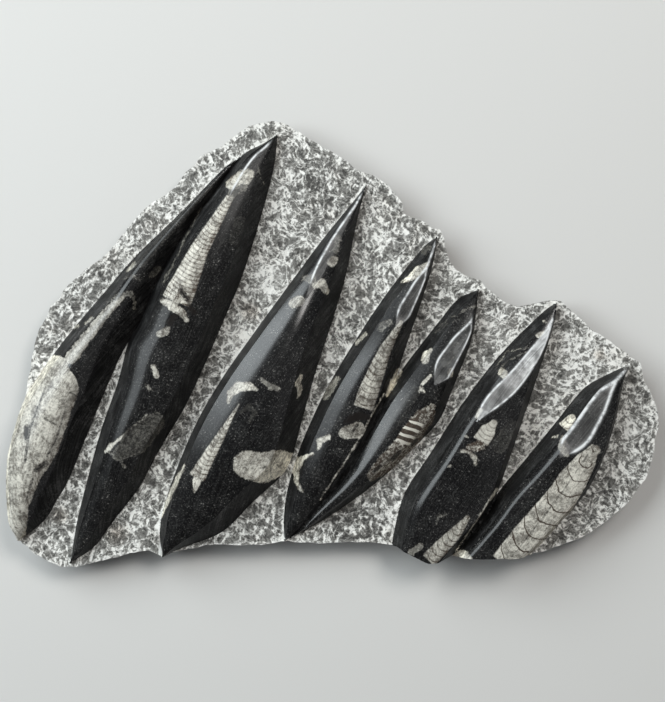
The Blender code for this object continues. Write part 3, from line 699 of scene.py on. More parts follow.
# %% Shell trails
# Each shell: how pale it is, its beads as x, y, radius in mm, and then the spacing of its chamber
# walls in mm, if it has them. A chambered shell ends in a straight break. Paleness runs from 0 to
# 1, and above 1 the shell is white calcite, without stains. Where the spacing is negative the
# chambers are full of brown crystals, with the walls left as pale ribs that far apart. CRYSTALS is
# so far that no rib shows.
CRYSTALS = -40.0
SHELLS = {
    "first": {
        "large_shell": (0.88, [(-128.5, -12, 7), (-128.5, -20.5, 11), (-133.5, -32, 12),
                               (-138, -45, 12), (-144, -59, 9.5), (-147, -73, 7),
                               (-145.5, -88, 4)]),
        "arc": (0.50, [(-104, 19, 0.7), (-99, 22, 1), (-93.5, 23.5, 1.2), (-91.5, 19.5, 1),
                       (-92, 14.5, 0.7)]),
        "ring": (0.55, [(-119.5, 7.5, 0.9), (-117.5, 8.5, 0.9)]),
        "chip": (0.60, [(-114, 9.5, 0.7), (-111, 12, 0.9)]),
        "streak": (0.60, [(-95, 33.5, 0.7), (-91, 37.5, 1.1), (-87, 41, 0.7)]),
        "oval": (0.42, [(-83.5, 31.5, 1.7), (-81, 34.5, 1.7)]),
        "curl": (0.40, [(-96.5, 30, 0.6), (-92, 31.5, 0.6), (-89, 29, 0.6)]),
        # A painted sheen on the upper part of the first crown, not a shell.
        "haze": (0.20, [(-89, 37.5, 2.8), (-77.5, 51.5, 2.8), (-66, 62.5, 2.8), (-56, 70, 2.8)]),
        # A painted reflection of the window down the first crown, not a shell.
        "painted_reflection": (0.72, [(-96.8, 22, 1.1), (-99.4, 19.5, 1.6), (-104.4, 14.8, 2),
                             (-110, 7.6, 2.3), (-116, 0, 2.6), (-120.8, -6.4, 2.9)]),
    },
    "second": {
        "long_cone": (1.0, [(-47.5, 68, 1.7), (-62, 43, 4.3), (-70, 25, 6.5),
                            (-72.5, 19.5, 6.9)], 1.95),
        "neck": (0.55, [(-47, 69, 2.2), (-42, 72.5, 2.4)]),
        "cap": (0.95, [(-47.5, 73.5, 2.3), (-41.5, 76.5, 3.7), (-39.5, 78, 2.8)]),
        "lip": (0.90, [(-78.3, 19.8, 1.4), (-74.5, 17.6, 2.2), (-70, 14.5, 1.9), (-67.5, 11, 1)]),
        "lump": (0.75, [(-80.5, 4.5, 1.4), (-78, 5.5, 1.8), (-76, 7, 1.1)]),
        "chip": (0.80, [(-83, -10.5, 1), (-81.5, -14.5, 1.4)]),
        "small_chip": (0.60, [(-85.5, -19.5, 0.9), (-84.5, -21, 0.9)]),
        "vein": (0.45, [(-61, 62.5, 0.5), (-68.5, 48, 0.5), (-72.5, 39.5, 0.5), (-78.5, 28, 0.7)]),
        "thread": (0.50, [(-35, 82.5, 0.3), (-34, 78, 0.4), (-32, 73.5, 0.3)]),
        "mottle": (0.40, [(-98.5, -51, 3.2), (-91, -44.5, 6.4), (-82, -36, 4.6)]),
        "pale_vein": (0.80, [(-105, -49.5, 0.8), (-102.5, -46.8, 1.3), (-100, -44.8, 0.6),
                             (-95, -40.6, 0.4), (-86, -32.5, 0.3)]),
        "low_vein": (0.50, [(-104, -49.5, 0.4), (-99.7, -52.3, 0.5), (-95.8, -56.7, 0.7)]),
        "ghost": (0.18, [(-43, 56, 2.8), (-45, 49, 3.2)]),
    },
    "third": {
        "spot": (0.95, [(-1, 37.5, 2.1), (0, 38.5, 2.1)]),
        "patch": (0.45, [(2, 49, 1.2), (1, 43, 1.6)]),
        "grey_patch": (0.55, [(-13.5, 30.5, 1.4), (-10, 30, 2.1)]),
        "lower_patch": (0.85, [(-8, 27, 1.7), (-5.5, 28, 2.1), (-3.5, 24.5, 1.6)]),
        "cream_patch": (0.85, [(-18.5, 18.5, 2.3), (-16, 20, 2.5)]),
        "crescent": (0.95, [(-48.5, -27, 0.7), (-47.5, -22.5, 1.7), (-43.5, -19.5, 2.5),
                            (-39, -19.5, 2.1), (-35.5, -21, 0.7)]),
        "star": (0.55, [(-32.5, -16.5, 0.9), (-29.5, -19.5, 1.7), (-25.5, -20.5, 0.9)]),
        "right_star": (0.80, [(-15, -14.5, 0.8), (-16.5, -18, 1.5), (-15.5, -20.5, 1.3),
                              (-16.5, -25, 0.5)]),
        "ring": (0.26, [(-42.5, -31.5, 0.9), (-39.5, -28.5, 0.9), (-36, -31.5, 0.9),
                        (-38.5, -35, 0.9)]),
        "slim_cone": (1.0, [(-43.5, -27.5, 0.3), (-56, -49, 2.7), (-63, -61.5, 3.8)], 2.3),
        "tail": (0.90, [(-63, -63, 2.3), (-64, -68, 0.5)]),
        "streak": (0.80, [(-68.5, -55.5, 0.6), (-72.5, -63.5, 1.2), (-76.5, -72.5, 1.1),
                          (-79.5, -80, 0.5)]),
        "kidney": (0.92, [(-40, -55.5, 6.4), (-33, -57, 7.1), (-24.5, -54.5, 6),
                          (-20, -54.5, 4.6)]),
        "kidney_rim": (1.0, [(-42, -52.5, 2.8), (-43, -56, 2.8)]),
    },
    "fourth": {
        "crescent": (0.90, [(-10, -50.5, 0.6), (-15, -53, 1.4), (-17.5, -58, 1.6),
                            (-17, -63.5, 1.1), (-14.5, -68, 0.5)]),
        "triangle": (0.95, [(43.5, 37, 0.9), (39.5, 34, 2.3), (35.5, 30.5, 1.7),
                            (31.5, 28.5, 0.6)]),
        "long_cone": (0.85, [(31, 10, 0.9), (23.5, -3, 2.9), (19.5, -13, 3.9), (16, -22, 4.6),
                             (13.5, -29.5, 4.6)], 3.0),
        "patch": (0.84, [(5, -41, 2.8), (11, -39.5, 3.7)]),
        "hook": (0.85, [(-7, -48.5, 0.6), (-6.5, -44.5, 1.5), (-2.5, -43, 1.3)]),
        "chip": (0.45, [(21.5, 7.5, 1.7), (25.5, 10, 1.7)]),
        "left_chip": (0.65, [(10.5, 0.5, 1.2), (14.5, 4.5, 1.1)]),
        "foot_patch": (0.62, [(-4, -24.8, 1.3), (-1.5, -20.6, 2), (1.5, -16.1, 1.4)]),
        "ring": (0.40, [(41.5, 42.5, 1.4), (43.5, 44.5, 1.4)]),
        "crease": (1.0, [(23, -23, 0.35), (8.5, -49, 0.4), (-6.5, -72, 0.3)]),
    },
    "fifth": {
        "foot_patch": (0.95, [(24.5, -23.5, 0.8), (27.5, -17.5, 1.7), (30, -12.5, 1.6)]),
        "oval": (0.80, [(42, -7.5, 1.8), (42.5, -4.5, 1.7)]),
        "dot": (0.70, [(44.5, -3, 0.9), (45, -2.5, 0.7)]),
        "worm": (1.0, [(40.5, -18.5, 0.6), (42.5, -16.5, 0.9), (44.5, -14.5, 0.8)]),
        "low_worm": (1.0, [(38.5, -22.5, 0.7), (40, -20.5, 0.8), (41.5, -22, 0.6)]),
        "spot": (0.95, [(53.5, -14, 1.4), (54, -12, 1.1)]),
        "speckle": (0.24, [(51.5, -8.5, 2.3), (56, -0.5, 2.3)]),
        "shell_top": (0.85, [(45.5, -28.5, 1.2), (43.8, -31.2, 3), (41.2, -34.5, 4.7),
                             (39.6, -36.5, 4.9)], CRYSTALS),
        "ribbed_shell": (1.0, [(40.3, -35.5, 4.6), (38, -39, 5.1), (33, -46.2, 5.3),
                               (31.6, -48.4, 5.3)], -3.5),
        "shell_end": (0.85, [(33.4, -45.6, 5.1), (30.5, -49.5, 5.2), (24, -55, 4.3),
                             (16, -62, 2)], CRYSTALS),
        # A painted reflection of the window down the fifth crown, not a shell.
        "sheen": (0.16, [(37.5, -21.5, 2.2), (31.5, -31.5, 3), (24.5, -40, 2.7),
                         (17.5, -47.5, 2)]),
        "thread": (0.42, [(48, 7.5, 0.3), (52.5, 11.5, 0.5), (57, 13.5, 0.6), (61, 16.3, 0.5),
                          (65, 17.3, 0.4)]),
        "low_thread": (0.35, [(45, 4, 0.3), (51, 8.5, 0.5), (58, 11.5, 0.4)]),
    },
    "sixth": {
        "spot": (0.85, [(77.5, -13, 2.2), (79, -14.5, 1.8)]),
        "chip": (0.80, [(94, 4, 1.2), (96.5, 5, 0.9)]),
        "high_chip": (0.70, [(96.5, 10.5, 0.8), (97.5, 10, 0.7)]),
        "thread": (0.50, [(74, -11, 0.4), (80.5, -3, 0.6), (86, -2.5, 0.6), (91, -0.7, 0.5)]),
        "low_thread": (0.42, [(75.5, -11.5, 0.4), (82, -6.5, 0.5), (88, -4, 0.4)]),
        "stub": (1.30, [(73.5, -36.5, 1.7), (70.5, -40.5, 3.7), (67.5, -45, 3.8)], 2.1),
        "crystals": (0.85, [(62.5, -47.5, 1.6), (66, -47, 2.4), (69.5, -46.5, 1.8)], CRYSTALS),
        "crystal_arms": (0.95, [(58.8, -49.1, 0.7), (62.1, -49.7, 0.9), (64.9, -52.4, 1.2),
                                (65.2, -55.2, 0.9)]),
        "low_cone": (0.90, [(61.5, -80, 1.2), (56, -87, 2.9), (49.5, -93.5, 3.5),
                            (43.5, -99.5, 3.7)], 3.2),
        "arc": (0.40, [(47, -83, 0.5), (48, -79.5, 0.7), (51, -78.5, 0.6)]),
        "lump": (0.60, [(35.5, -96, 1.7), (40, -93, 1.2)]),
        "dot": (0.90, [(60.5, -42.5, 0.6), (61.5, -42.5, 0.6)]),
        "low_dot": (0.70, [(53, -56.5, 0.6), (54, -56, 0.6)]),
        "ghost": (0.22, [(76.5, -46.5, 3.7), (82, -37.5, 2.8)]),
        # A painted glint at the lower end of the lozenge, not a shell.
        "rubbed_end": (0.85, [(65.5, -33.5, 0.8), (67.5, -30.5, 1.0)]),
    },
    "seventh": {
        "stub": (1.20, [(109.5, -34, 1.9), (105.5, -38.5, 3)], 2.8),
        "worm": (0.80, [(100, -43, 0.4), (102, -42.5, 0.6), (103.5, -41.5, 0.4)]),
        "broad_cone": (1.12, [(119, -49.5, 2.8), (115.5, -54.5, 4.9), (110, -62.5, 6.6),
                              (104, -72, 7.2), (88.5, -90, 7.5), (79, -102, 7.5)], 8.0),
        "knob": (0.97, [(119.5, -48, 2), (121, -49, 1.8)]),
        "piece": (0.85, [(55, -99, 1.8), (59, -97.5, 3.2), (62.5, -99.5, 1.8)]),
        "crease": (0.85, [(75, -67, 0.8), (71, -73, 0.5), (65.5, -81.5, 0.4), (56, -95.5, 0.3)]),
        # A painted glint at the lower end of the lozenge, not a shell.
        "rubbed_end": (0.62, [(105.5, -43, 1.2), (104.8, -47.5, 1.9), (107, -51, 1.2)]),
    },
}
# Holes and dark veins in the shells, as beads.
HOLLOWS = [
    [(-132.5, -20, 0.6), (-135, -26.5, 0.6), (-140, -39.5, 0.8), (-142, -54.5, 0.7)],
    [(-141, -38.5, 1.6), (-141.5, -43, 1.4)],
    [(-121.5, -22, 0.5), (-115, -26, 0.5)],
    [(-133.5, -34, 0.5), (-128, -37, 0.5)],
    [(-137, -58, 1.2), (-132.5, -55, 1.4)],
    [(-70, 24, 1.6), (-67, 20.5, 1.4)],
    [(-66.5, 17.5, 1.4), (-64, 14.5, 1.4)],
    [(-72.5, 13.5, 1.4), (-75.5, 10, 1.8)],
    [(5.5, -36, 1.2), (8.5, -34, 2.2), (12, -33.4, 2.5), (15.5, -33.5, 1.5)],
    [(11, -37, 0.7), (8.5, -40.5, 0.7)],
    [(44.5, -38.5, 1.4), (41.5, -44, 1.4)],
    [(30.5, -49.5, 1), (27, -53, 1.1)],
    [(35.5, -47, 0.9), (38, -44, 0.9)],
    [(21.5, -56, 0.9), (18.5, -58.5, 0.9)],
    [(69, -49.5, 0.7), (71, -47, 0.7)],
    [(-26, -55.5, 0.6), (-24.5, -57, 0.5)],
    [(-27, -52.5, 0.3), (-29, -56, 0.4), (-28.8, -60, 0.3)],
    [(-34.5, -57.2, 0.4), (-31, -56.6, 0.5)],
    [(-123.5, -30, 0.5), (-127, -42, 0.5), (-132, -52, 0.6)],
    [(-138.5, -62, 0.6), (-141.5, -72, 0.5)],
    [(117.5, -50, 0.35), (108, -64, 0.35), (96, -80, 0.4), (82, -98, 0.4)],
]
for name, group in SHELLS.items():
    print(f"{name} ridge:", ", ".join(group))
print("hollows:", len(HOLLOWS))

# %% [markdown]
# ## How deep a point lies in a shell
#
# Every point of the face keeps how deep it lies inside the nearest trail, how far along it and how
# far across it. The finishes draw the shell's edge and its chamber walls from those numbers, as
# sharp as the shader can, whatever the size of the triangles.

# %% Reading the trails
DEEPEST = 3.0  # mm, the furthest from an edge that is kept
ACROSS_LIMIT = 1.5  # the furthest to the side that is kept, in radii


def follow(points, beads, broken_end):
    """Depth inside a trail in mm, distance along it and share across it, at each point."""
    depth = np.full(len(points), -DEEPEST)
    along, across = np.zeros(len(points)), np.zeros(len(points))
    walked = 0.0
    for (x0, y0, r0), (x1, y1, r1) in zip(beads, beads[1:]):
        step = np.array([x1 - x0, y1 - y0])
        length = float(np.hypot(*step))
        way = step / length
        off = points - (x0, y0)
        u = off @ way
        held = np.clip(u, 0, length)
        radius = r0 + (r1 - r0) * held / length
        side = off @ np.array([-way[1], way[0]])
        inner = radius - np.hypot(u - held, side)
        if broken_end and (x1, y1, r1) == beads[-1]:
            inner = np.minimum(inner, length - u)
        nearer = inner > depth
        depth[nearer] = inner[nearer]
        along[nearer] = (walked + held)[nearer]
        across[nearer] = (side / radius)[nearer]
        walked += length
    return np.clip(depth, -DEEPEST, DEEPEST), along, across


def read_shells(points):
    """For each point, what the material needs to draw the shells and their hollows."""
    facts = {name: np.zeros(len(points)) for name in ("tone", "chamber", "bow", "spacing")}
    facts["shell"] = np.full(len(points), -DEEPEST)
    facts["hollow"] = np.full(len(points), -DEEPEST)
    for group in SHELLS.values():
        for tone, beads, *walls in group.values():
            spacing = walls[0] if walls else 0.0
            depth, along, across = follow(points, beads, spacing != 0)
            over = depth > facts["shell"]
            facts["shell"][over] = depth[over]
            facts["tone"][over] = tone
            facts["chamber"][over] = along[over] / (abs(spacing) or 1)
            facts["bow"][over] = np.clip(across[over], -ACROSS_LIMIT, ACROSS_LIMIT)
            facts["spacing"][over] = spacing
    for beads in HOLLOWS:
        facts["hollow"] = np.maximum(facts["hollow"], follow(points, beads, False)[0])
    return facts


# %% [markdown]
# ## Where the beads seem to lie
#
# The beads were placed as they look to an eye over the plaque, to which a point high on a ridge
# seems further out than it is. So each point of the face is moved out by its height in the same
# way before it is compared with them.

# %% Shells on the face
EYE = np.array([-0.6, -3.2])
EYE_HEIGHT = 600.0  # mm over the field

rise_over_field = np.clip(height - FIELD_HEIGHT, 0, None)
seen = EYE + (face_points - EYE) * (EYE_HEIGHT / (EYE_HEIGHT - rise_over_field))[:, None]
shell_facts = read_shells(seen)
print("shell covers", round(float((shell_facts["shell"] > 0).mean()) * 100), "percent of the face")

# %% [markdown]
# ## The rim and the back
#
# The rim is a break, with hollows and steps where flakes came off. Rings of points go down from
# the edge of the face to the back, each pushed in by a different amount of noise. The back is one
# flat face, as a saw leaves it.

# %% The rim's flakes
# How far flakes go in, in mm, and how large they are, in mm.
SCALLOPS, SCALLOP_PITCH = 2.2, 9.0
CHIPS, CHIP_PITCH = 0.9, 3.2
LEDGES, LEDGE_PITCH = 0.7, 6.0


def edge_loop(triangles):
    """The boundary of the face as one run of points, in the order of its triangles."""
    directed = {(a, b) for tri in triangles for a, b in zip(tri, np.roll(tri, -1))}
    following = {a: b for a, b in directed if (b, a) not in directed}
    loop = [next(iter(following))]
    while following[loop[-1]] != loop[0]:
        loop.append(following[loop[-1]])
    return loop


def flake(points, down):
    """How far the broken rim stands in from the outline, in mm, at a share of the way down."""
    scallops = np.abs(rough(points, SCALLOP_PITCH, down * 2.1))
    chips = np.abs(rough(points, CHIP_PITCH, 5 + down * 4.5))
    ledges = np.array([noise.cell(Vector((*(p / LEDGE_PITCH), down * 3.0))) for p in points])
    return SCALLOPS * scallops + CHIPS * chips + LEDGES * ledges


loop = edge_loop(triangles)
owner = [tree_of_rim.find((*face_points[i], 0))[1] for i in loop]
rim_line, rim_out = outline[owner], outline_out[owner]
rim_top = height[loop]
print("rim:", len(loop), "points round")

# %% [markdown]
# ## The whole mesh
#
# The rings start at the face's own edge and end in the plane of the back. The flakes are deepest
# near half height and die out at both ends, so the first ring still meets the face and the last one
# is an even cut. Each face also gets the number of its finish. The finishes are made later, in the
# order of these numbers.

# %% The mesh
RINGS = 13
BACK_INSET = 2.9  # mm that the back is smaller than the outline, all round
LEAST_INSET = 0.2  # mm
BELLY = 1.1  # how soon the flakes die out downwards: 1 at the back, more before it
TOP_SHARE = 0.25  # the share of a flake's depth that it has at the top edge
BLEND_RINGS = 2  # over so many rings the face's edge turns into the flaked rim

first_inset = np.einsum("ij,ij->i", rim_line - face_points[loop], rim_out)
vertices = [np.column_stack([face_points, height])]
faces = [list(map(int, tri)) for tri in triangles]
above = list(loop)
for ring in range(1, RINGS + 1):
    down = ring / RINGS
    inset = flake(rim_line, down) * math.sin(math.pi * min(down * BELLY, 1.0)) ** 0.5
    inset = np.maximum(inset * min(1.0, TOP_SHARE + down) + BACK_INSET * down**4, LEAST_INSET)
    blend = min(1.0, ring / BLEND_RINGS)
    inset = first_inset * (1 - blend) + inset * blend
    spots = rim_line - rim_out * inset[:, None]
    z = rim_top * (1 - down) if ring < RINGS else np.zeros(len(loop))
    vertices.append(np.column_stack([spots, z]))
    first = len(face_points) + (ring - 1) * len(loop)
    below = list(range(first, first + len(loop)))
    for i in range(len(loop)):
        j = (i + 1) % len(loop)
        faces.append([above[j], above[i], below[i], below[j]])
    above = below
faces.append(above[::-1])
vertices = np.vstack(vertices) * MM
POLISHED, LOZENGE, GROUND, TOOLED, BROKEN, SAWN = range(6)
slot_of_zone = np.array([TOOLED, GROUND, POLISHED, LOZENGE])
slots = np.concatenate([slot_of_zone[triangle_zone], np.full(len(loop) * RINGS, BROKEN), [SAWN]])
print("mesh:", len(vertices), "points and", len(faces), "faces")

# %% [markdown]
# ## The stone as one object
#
# The facts about each point go with the mesh as named attributes, where the finishes can read
# them. They are plain numbers on points, so they move with the mesh and need no unwrapping. The
# face is shaded smooth, but wherever two finishes meet the edge stays sharp, as the wheel left it.

# %% The stone
SHARP_ANGLE = 42  # degrees between two faces from which their edge is shaded sharp


def mark_borders(mesh):
    """Makes every edge sharp that has a different finish on each side."""
    finish = np.zeros(len(mesh.polygons), np.int32)
    corners = np.zeros(len(mesh.polygons), np.int32)
    edge = np.zeros(len(mesh.loops), np.int32)
    mesh.polygons.foreach_get("material_index", finish)
    mesh.polygons.foreach_get("loop_total", corners)
    mesh.loops.foreach_get("edge_index", edge)
    low, high = np.full(len(mesh.edges), SAWN), np.full(len(mesh.edges), POLISHED)
    np.minimum.at(low, edge, np.repeat(finish, corners))
    np.maximum.at(high, edge, np.repeat(finish, corners))
    layer = mesh.attributes["sharp_edge"].data
    sharp = np.zeros(len(mesh.edges), bool)
    layer.foreach_get("value", sharp)
    layer.foreach_set("value", sharp | (low != high))


mesh = bpy.data.meshes.new("fossil_stone")
mesh.from_pydata(vertices.tolist(), [], faces)
mesh.polygons.foreach_set("material_index", slots.astype(np.int32))
mesh.polygons.foreach_set("use_smooth", np.ones(len(mesh.polygons), bool))
field_facts = {"bruise": bruise * on_field, "to_rim": to_rim, "to_foot": to_foot}
ridge_facts = {name: facts[name] for name in ("along", "across", "arris", "film", "dull")}
for name, values in {**field_facts, **ridge_facts, **shell_facts}.items():
    layer = mesh.attributes.new(name, "FLOAT", "POINT")
    padded = np.zeros(len(vertices), np.float32)  # the rim and the back have no facts
    padded[: len(values)] = values
    layer.data.foreach_set("value", padded)
mesh.validate()
mesh.set_sharp_from_angle(angle=math.radians(SHARP_ANGLE))
mark_borders(mesh)
stone = bpy.data.objects.new("fossil_stone", mesh)
bpy.context.scene.collection.objects.link(stone)
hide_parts("fossil_slab")
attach(stone, "root")
mesh.calc_loop_triangles()
print("stone:", len(mesh.vertices), "points,", len(mesh.loop_triangles), "triangles")

# %% [markdown]
# ## Writing materials as sums
#
# Node trees are slow to write one link at a time. Here a small class wraps a node's output, and
# Python's own operators add the Math nodes, so a mask can be written as a sum. Its step is the
# most useful of all: it turns any number into a mask with a soft edge between two values.


# %% Wires
class Wire:
    """A node's output that adds, subtracts and multiplies like a number."""

    def __init__(self, finish, socket):
        self.finish, self.socket = finish, socket

    def _math(self, operation, *values):
        return self.finish.add("Math", {"operation": operation}, dict(enumerate(values)))

    def __add__(self, other):
        return self._math("ADD", self, other)

    def __sub__(self, other):
        return self._math("SUBTRACT", self, other)

    def __rsub__(self, other):
        return self._math("SUBTRACT", other, self)

    def __mul__(self, other):
        return self._math("MULTIPLY", self, other)

    def __abs__(self):
        return self._math("ABSOLUTE", self)

    __radd__, __rmul__ = __add__, __mul__

    def step(self, low, high):
        """0 below low and 1 above high, with a smooth rise between. low may be above high."""
        settings = {"interpolation_type": "SMOOTHSTEP"}
        return self.finish.add("MapRange", settings, {0: self, 1: low, 2: high, 3: 0.0, 4: 1.0})

    def fraction(self):
        return self._math("FRACT", self)

    def larger(self, other):
        return self._math("MAXIMUM", self, other)


print("a wire also has:", ", ".join(name for name in vars(Wire) if not name.startswith("_")))

# %% [markdown]
# ## Finishes
#
# A finish is a material under construction. Its method add makes any node from its kind, its
# settings and the values or links of its sockets. Noise, tints and bumps are so common that they
# have methods of their own. Noise is read from the object's own coordinates and sized in mm.


# %% Finishes
class Finish:
    """A material under construction."""

    def __init__(self, name):
        self.material = bpy.data.materials.new(name)
        self.material.use_nodes = True
        self.tree = self.material.node_tree
        self.tree.nodes.clear()
        self.place = self.add("TexCoord", out="Object")

    def add(self, kind, settings=None, sockets=None, out=0):
        """A node of a kind, its settings made first and then its sockets' values or links."""
        node = self.tree.nodes.new("ShaderNode" + kind)
        for name, value in (settings or {}).items():
            setattr(node, name, value)
        for name, value in (sockets or {}).items():
            self.plug(node.inputs[name], value)
        return Wire(self, node.outputs[out])

    def plug(self, socket, value):
        """A link or a value for a socket. A colour may come without its alpha."""
        if isinstance(value, Wire):
            self.tree.links.new(value.socket, socket)
        elif isinstance(value, tuple) and socket.type == "RGBA":
            socket.default_value = (*value, 1)
        else:
            socket.default_value = value

    def fact(self, name):
        """A number that the mesh carries at each point."""
        return self.add("Attribute", {"attribute_name": name}, out="Fac")

    def noise(self, feature, detail=2.0, roughness=0.5, distortion=0.0):
        """Perlin noise from 0 to 1 with features about this size in mm."""
        sockets = {"Vector": self.place, "Scale": 1 / (feature * MM), "Detail": detail,
                   "Roughness": roughness, "Distortion": distortion}
        return self.add("TexNoise", {}, sockets)

    def tint(self, share, first, second, blend="MIX"):
        """A colour between two: the first where share is 0 and the second where it is 1."""
        settings = {"data_type": "RGBA", "blend_type": blend}
        return self.add("Mix", settings, {0: share, 6: first, 7: second}, out=2)

    def bump(self, height, distance, strength):
        """A normal for a height from 0 to 1 that stands for a distance in mm."""
        sockets = {"Height": height, "Distance": distance * MM, "Strength": strength}
        return self.add("Bump", {}, sockets)

    def surface(self, **sockets):
        """A Principled shader with these sockets."""
        named = {name.replace("_", " "): value for name, value in sockets.items()}
        return self.add("BsdfPrincipled", {}, named, out="BSDF")

    def done(self, worn=None, share=0.0, **sockets):
        """Ends the material in a Principled shader, with a share of a worn surface over it."""
        shader = self.surface(**sockets)
        if worn:
            shader = self.add("MixShader", {}, {0: share, 1: shader, 2: worn})
        output = self.tree.nodes.new("ShaderNodeOutputMaterial")
        self.tree.links.new(shader.socket, output.inputs["Surface"])
        mesh.materials.append(self.material)
        print("finish:", self.material.name, "with", len(self.tree.nodes), "nodes")


print("a finish has:", ", ".join(name for name in vars(Finish) if not name.startswith("_")))

# %% [markdown]
# ## Black limestone
#
# The stone is nearly black, with faint clouds of fine shell dust in it, a few white specks and
# hairlines along the ridge. The dust and the specks are thresholds in noise of two sizes. The
# hairlines are where stretched noise crosses its middle value, which it does in thin lines.

# %% Black stone
BLACK = (0.0018, 0.0017, 0.0019)
DUST = (0.060, 0.059, 0.057)
SPECK = (0.30, 0.29, 0.27)
LENGTHWISE_DETAIL, LENGTHWISE_ROUGHNESS = 4.0, 0.65


def lengthwise(finish, stretch, pitch):
    """Noise drawn out along a ridge: stretch and pitch are its features' sizes in mm."""
    along, across = finish.fact("along") * (1 / stretch), finish.fact("across") * (1 / pitch)
    sockets = {"Vector": finish.add("CombineXYZ", {}, {0: along, 1: across, 2: 0.0}), "Scale": 1.0,
               "Detail": LENGTHWISE_DETAIL, "Roughness": LENGTHWISE_ROUGHNESS}
    return finish.add("TexNoise", {}, sockets)


def black_stone(finish):
    """Black limestone with clouds of shell dust, hairlines and a few white specks."""
    cloud = finish.noise(9.0, 5, 0.65).step(0.44, 0.70)
    dust = finish.noise(0.9, 3, 0.7).step(0.48, 0.72)
    scratches = abs(lengthwise(finish, 60.0, 1.6) - 0.5).step(0.018, 0.0)
    amount = cloud * (0.15 + dust * 0.55) + dust * 0.40 + scratches * 0.30
    specks = finish.noise(0.7, 1, 0.5).step(0.65, 0.73) * (0.3 + 0.7 * cloud)
    return finish.tint(specks * 0.75, finish.tint(amount, BLACK, DUST), SPECK)


print("pure dust is", round(DUST[0] / BLACK[0]), "times as bright as the stone")

# %% [markdown]
# ## The shells' chambers
#
# Chamber walls are thin dark bows across a cone, where the fraction of the distance along it is
# close to one. The bow comes from the square of the distance to the cone's middle. Two shells are
# full of brown crystals instead. The walls of the larger one are left as pale ribs, which run
# slanting and stop short of its right side.


# %% Chambers
def chambers(finish):
    """How much of a cut is dark wall, brown crystal and white shell."""
    spacing, bow = finish.fact("spacing"), finish.fact("bow")
    filled, ribbed = spacing.step(0.0, -0.5), spacing.step(-8.0, -6.0)
    slanted = filled * ribbed
    curve = bow * bow * 0.55 * (1 - slanted) + (bow * 0.45 + 0.5) * slanted
    wobble = (finish.noise(4.0, 2) - 0.5) * 0.35
    turn = (finish.fact("chamber") + curve + wobble).fraction()
    off_wall = (0.5 - abs(turn - 0.5)) * abs(spacing)
    broad = 0.46 + 0.54 * spacing.step(1.9, 6.0)  # walls close together are fainter
    wall = off_wall.step(0.50, 0.15) * spacing.step(0.0, 0.5) * broad
    gap = off_wall.step(0.55, 0.85).larger(bow.step(0.25, 0.6) * ribbed)
    grains = finish.noise(1.3, 4, 0.7).step(0.58, 0.44) * 0.80 + 0.14
    crystals = gap * grains.larger(ribbed * bow.step(0.5, 0.1) * 0.92) * filled
    white = ((1 - gap) * slanted).larger(finish.fact("tone").step(1.0, 1.5))
    return wall, crystals, white


chambered = [shell[2] for group in SHELLS.values() for shell in group.values() if len(shell) > 2]
print("shells with dark walls:", sum(spacing > 0 for spacing in chambered))

# %% [markdown]
# ## The shells' colour
#
# The shells are calcite, from nearly white to grey, with brown iron stains in thin veins and in
# streaks along the ridge, and browner down one side. A soft light and dark comes from noise of
# three sizes.

# %% Shell colour
PALE_SHELL = (0.76, 0.73, 0.645)
GREY_SHELL = (0.155, 0.145, 0.125)
BROWN = (0.060, 0.042, 0.030)


def shell_colour(finish, wall, crystals, white):
    """Calcite shell in all its greys, browner towards one side, with its walls and crystals."""
    light = (finish.noise(7.0, 4, 0.6) * 0.9 + finish.noise(1.6, 4, 0.7) * 0.9
             + finish.noise(0.5, 2, 0.6) * 0.35 - 0.575)
    calcite = finish.tint(light.step(0.26, 0.66).larger(white), GREY_SHELL, PALE_SHELL)
    veins = abs(finish.noise(5.0, 4, 0.6, distortion=0.8) - 0.5).step(0.030, 0.0)
    streaks = abs(lengthwise(finish, 26.0, 4.5) - 0.5).step(0.035, 0.0)
    side = finish.fact("bow").step(0.15, 1.25)
    stain = (veins * 0.40 + streaks * 0.40 + side * 0.50) * (1 - white) + wall * 0.95 + crystals
    return finish.tint(stain, calcite, BROWN)


print("the palest shell is", round(PALE_SHELL[0] / GREY_SHELL[0], 1), "times as bright as the grey")

# %% [markdown]
# ## A cut through the stone
#
# A shell's edge is where its depth passes zero, nudged by noise so that it isn't drawn with a
# compass. Faint shells are more ragged, mottled and hollow than bright ones, because the stone has
# eaten into them. The hollows in a shell are cut out of it last, in the same way.

# %% Cut stone
HOLLOW_DARK = (0.010, 0.008, 0.007)


def stone_colour(finish):
    """The colour of a cut through the stone, and how much of it is shell, wall and hollow."""
    ragged = (finish.noise(2.6, 4, 0.6) - 0.5) * 2.0 + (finish.noise(0.8, 2) - 0.5) * 0.9
    tone = finish.fact("tone")
    faint = tone.step(0.80, 0.45)
    crisp = finish.fact("spacing").step(0.0, 0.5)  # a chambered shell has the cleanest edge
    depth = finish.fact("shell") + ragged * (1 + 0.7 * faint - 0.6 * crisp)
    shell = depth.step(-0.30, 0.45)
    hazy = 1 - 0.45 * depth.step(0.3, 1.4) * faint
    mottle = finish.noise(1.1, 4, 0.7).step(0.38, 0.62)
    amount = shell * hazy * tone.step(0.0, 1.05) * (1 - (0.12 + 0.65 * faint) * mottle)
    wall, crystals, white = chambers(finish)
    calcite = shell_colour(finish, wall, crystals, white)
    mixed = finish.tint(amount, black_stone(finish), calcite)
    hollow = finish.fact("hollow") + ragged * 0.6
    hollow = hollow.step(-0.2, 0.4) * (0.45 + 0.55 * mottle).larger(hollow.step(0.5, 1.1))
    return finish.tint(hollow, mixed, HOLLOW_DARK), shell * tone, wall, hollow


print("a hollow keeps", round(HOLLOW_DARK[0] / PALE_SHELL[0], 3), "of the palest shell's light")
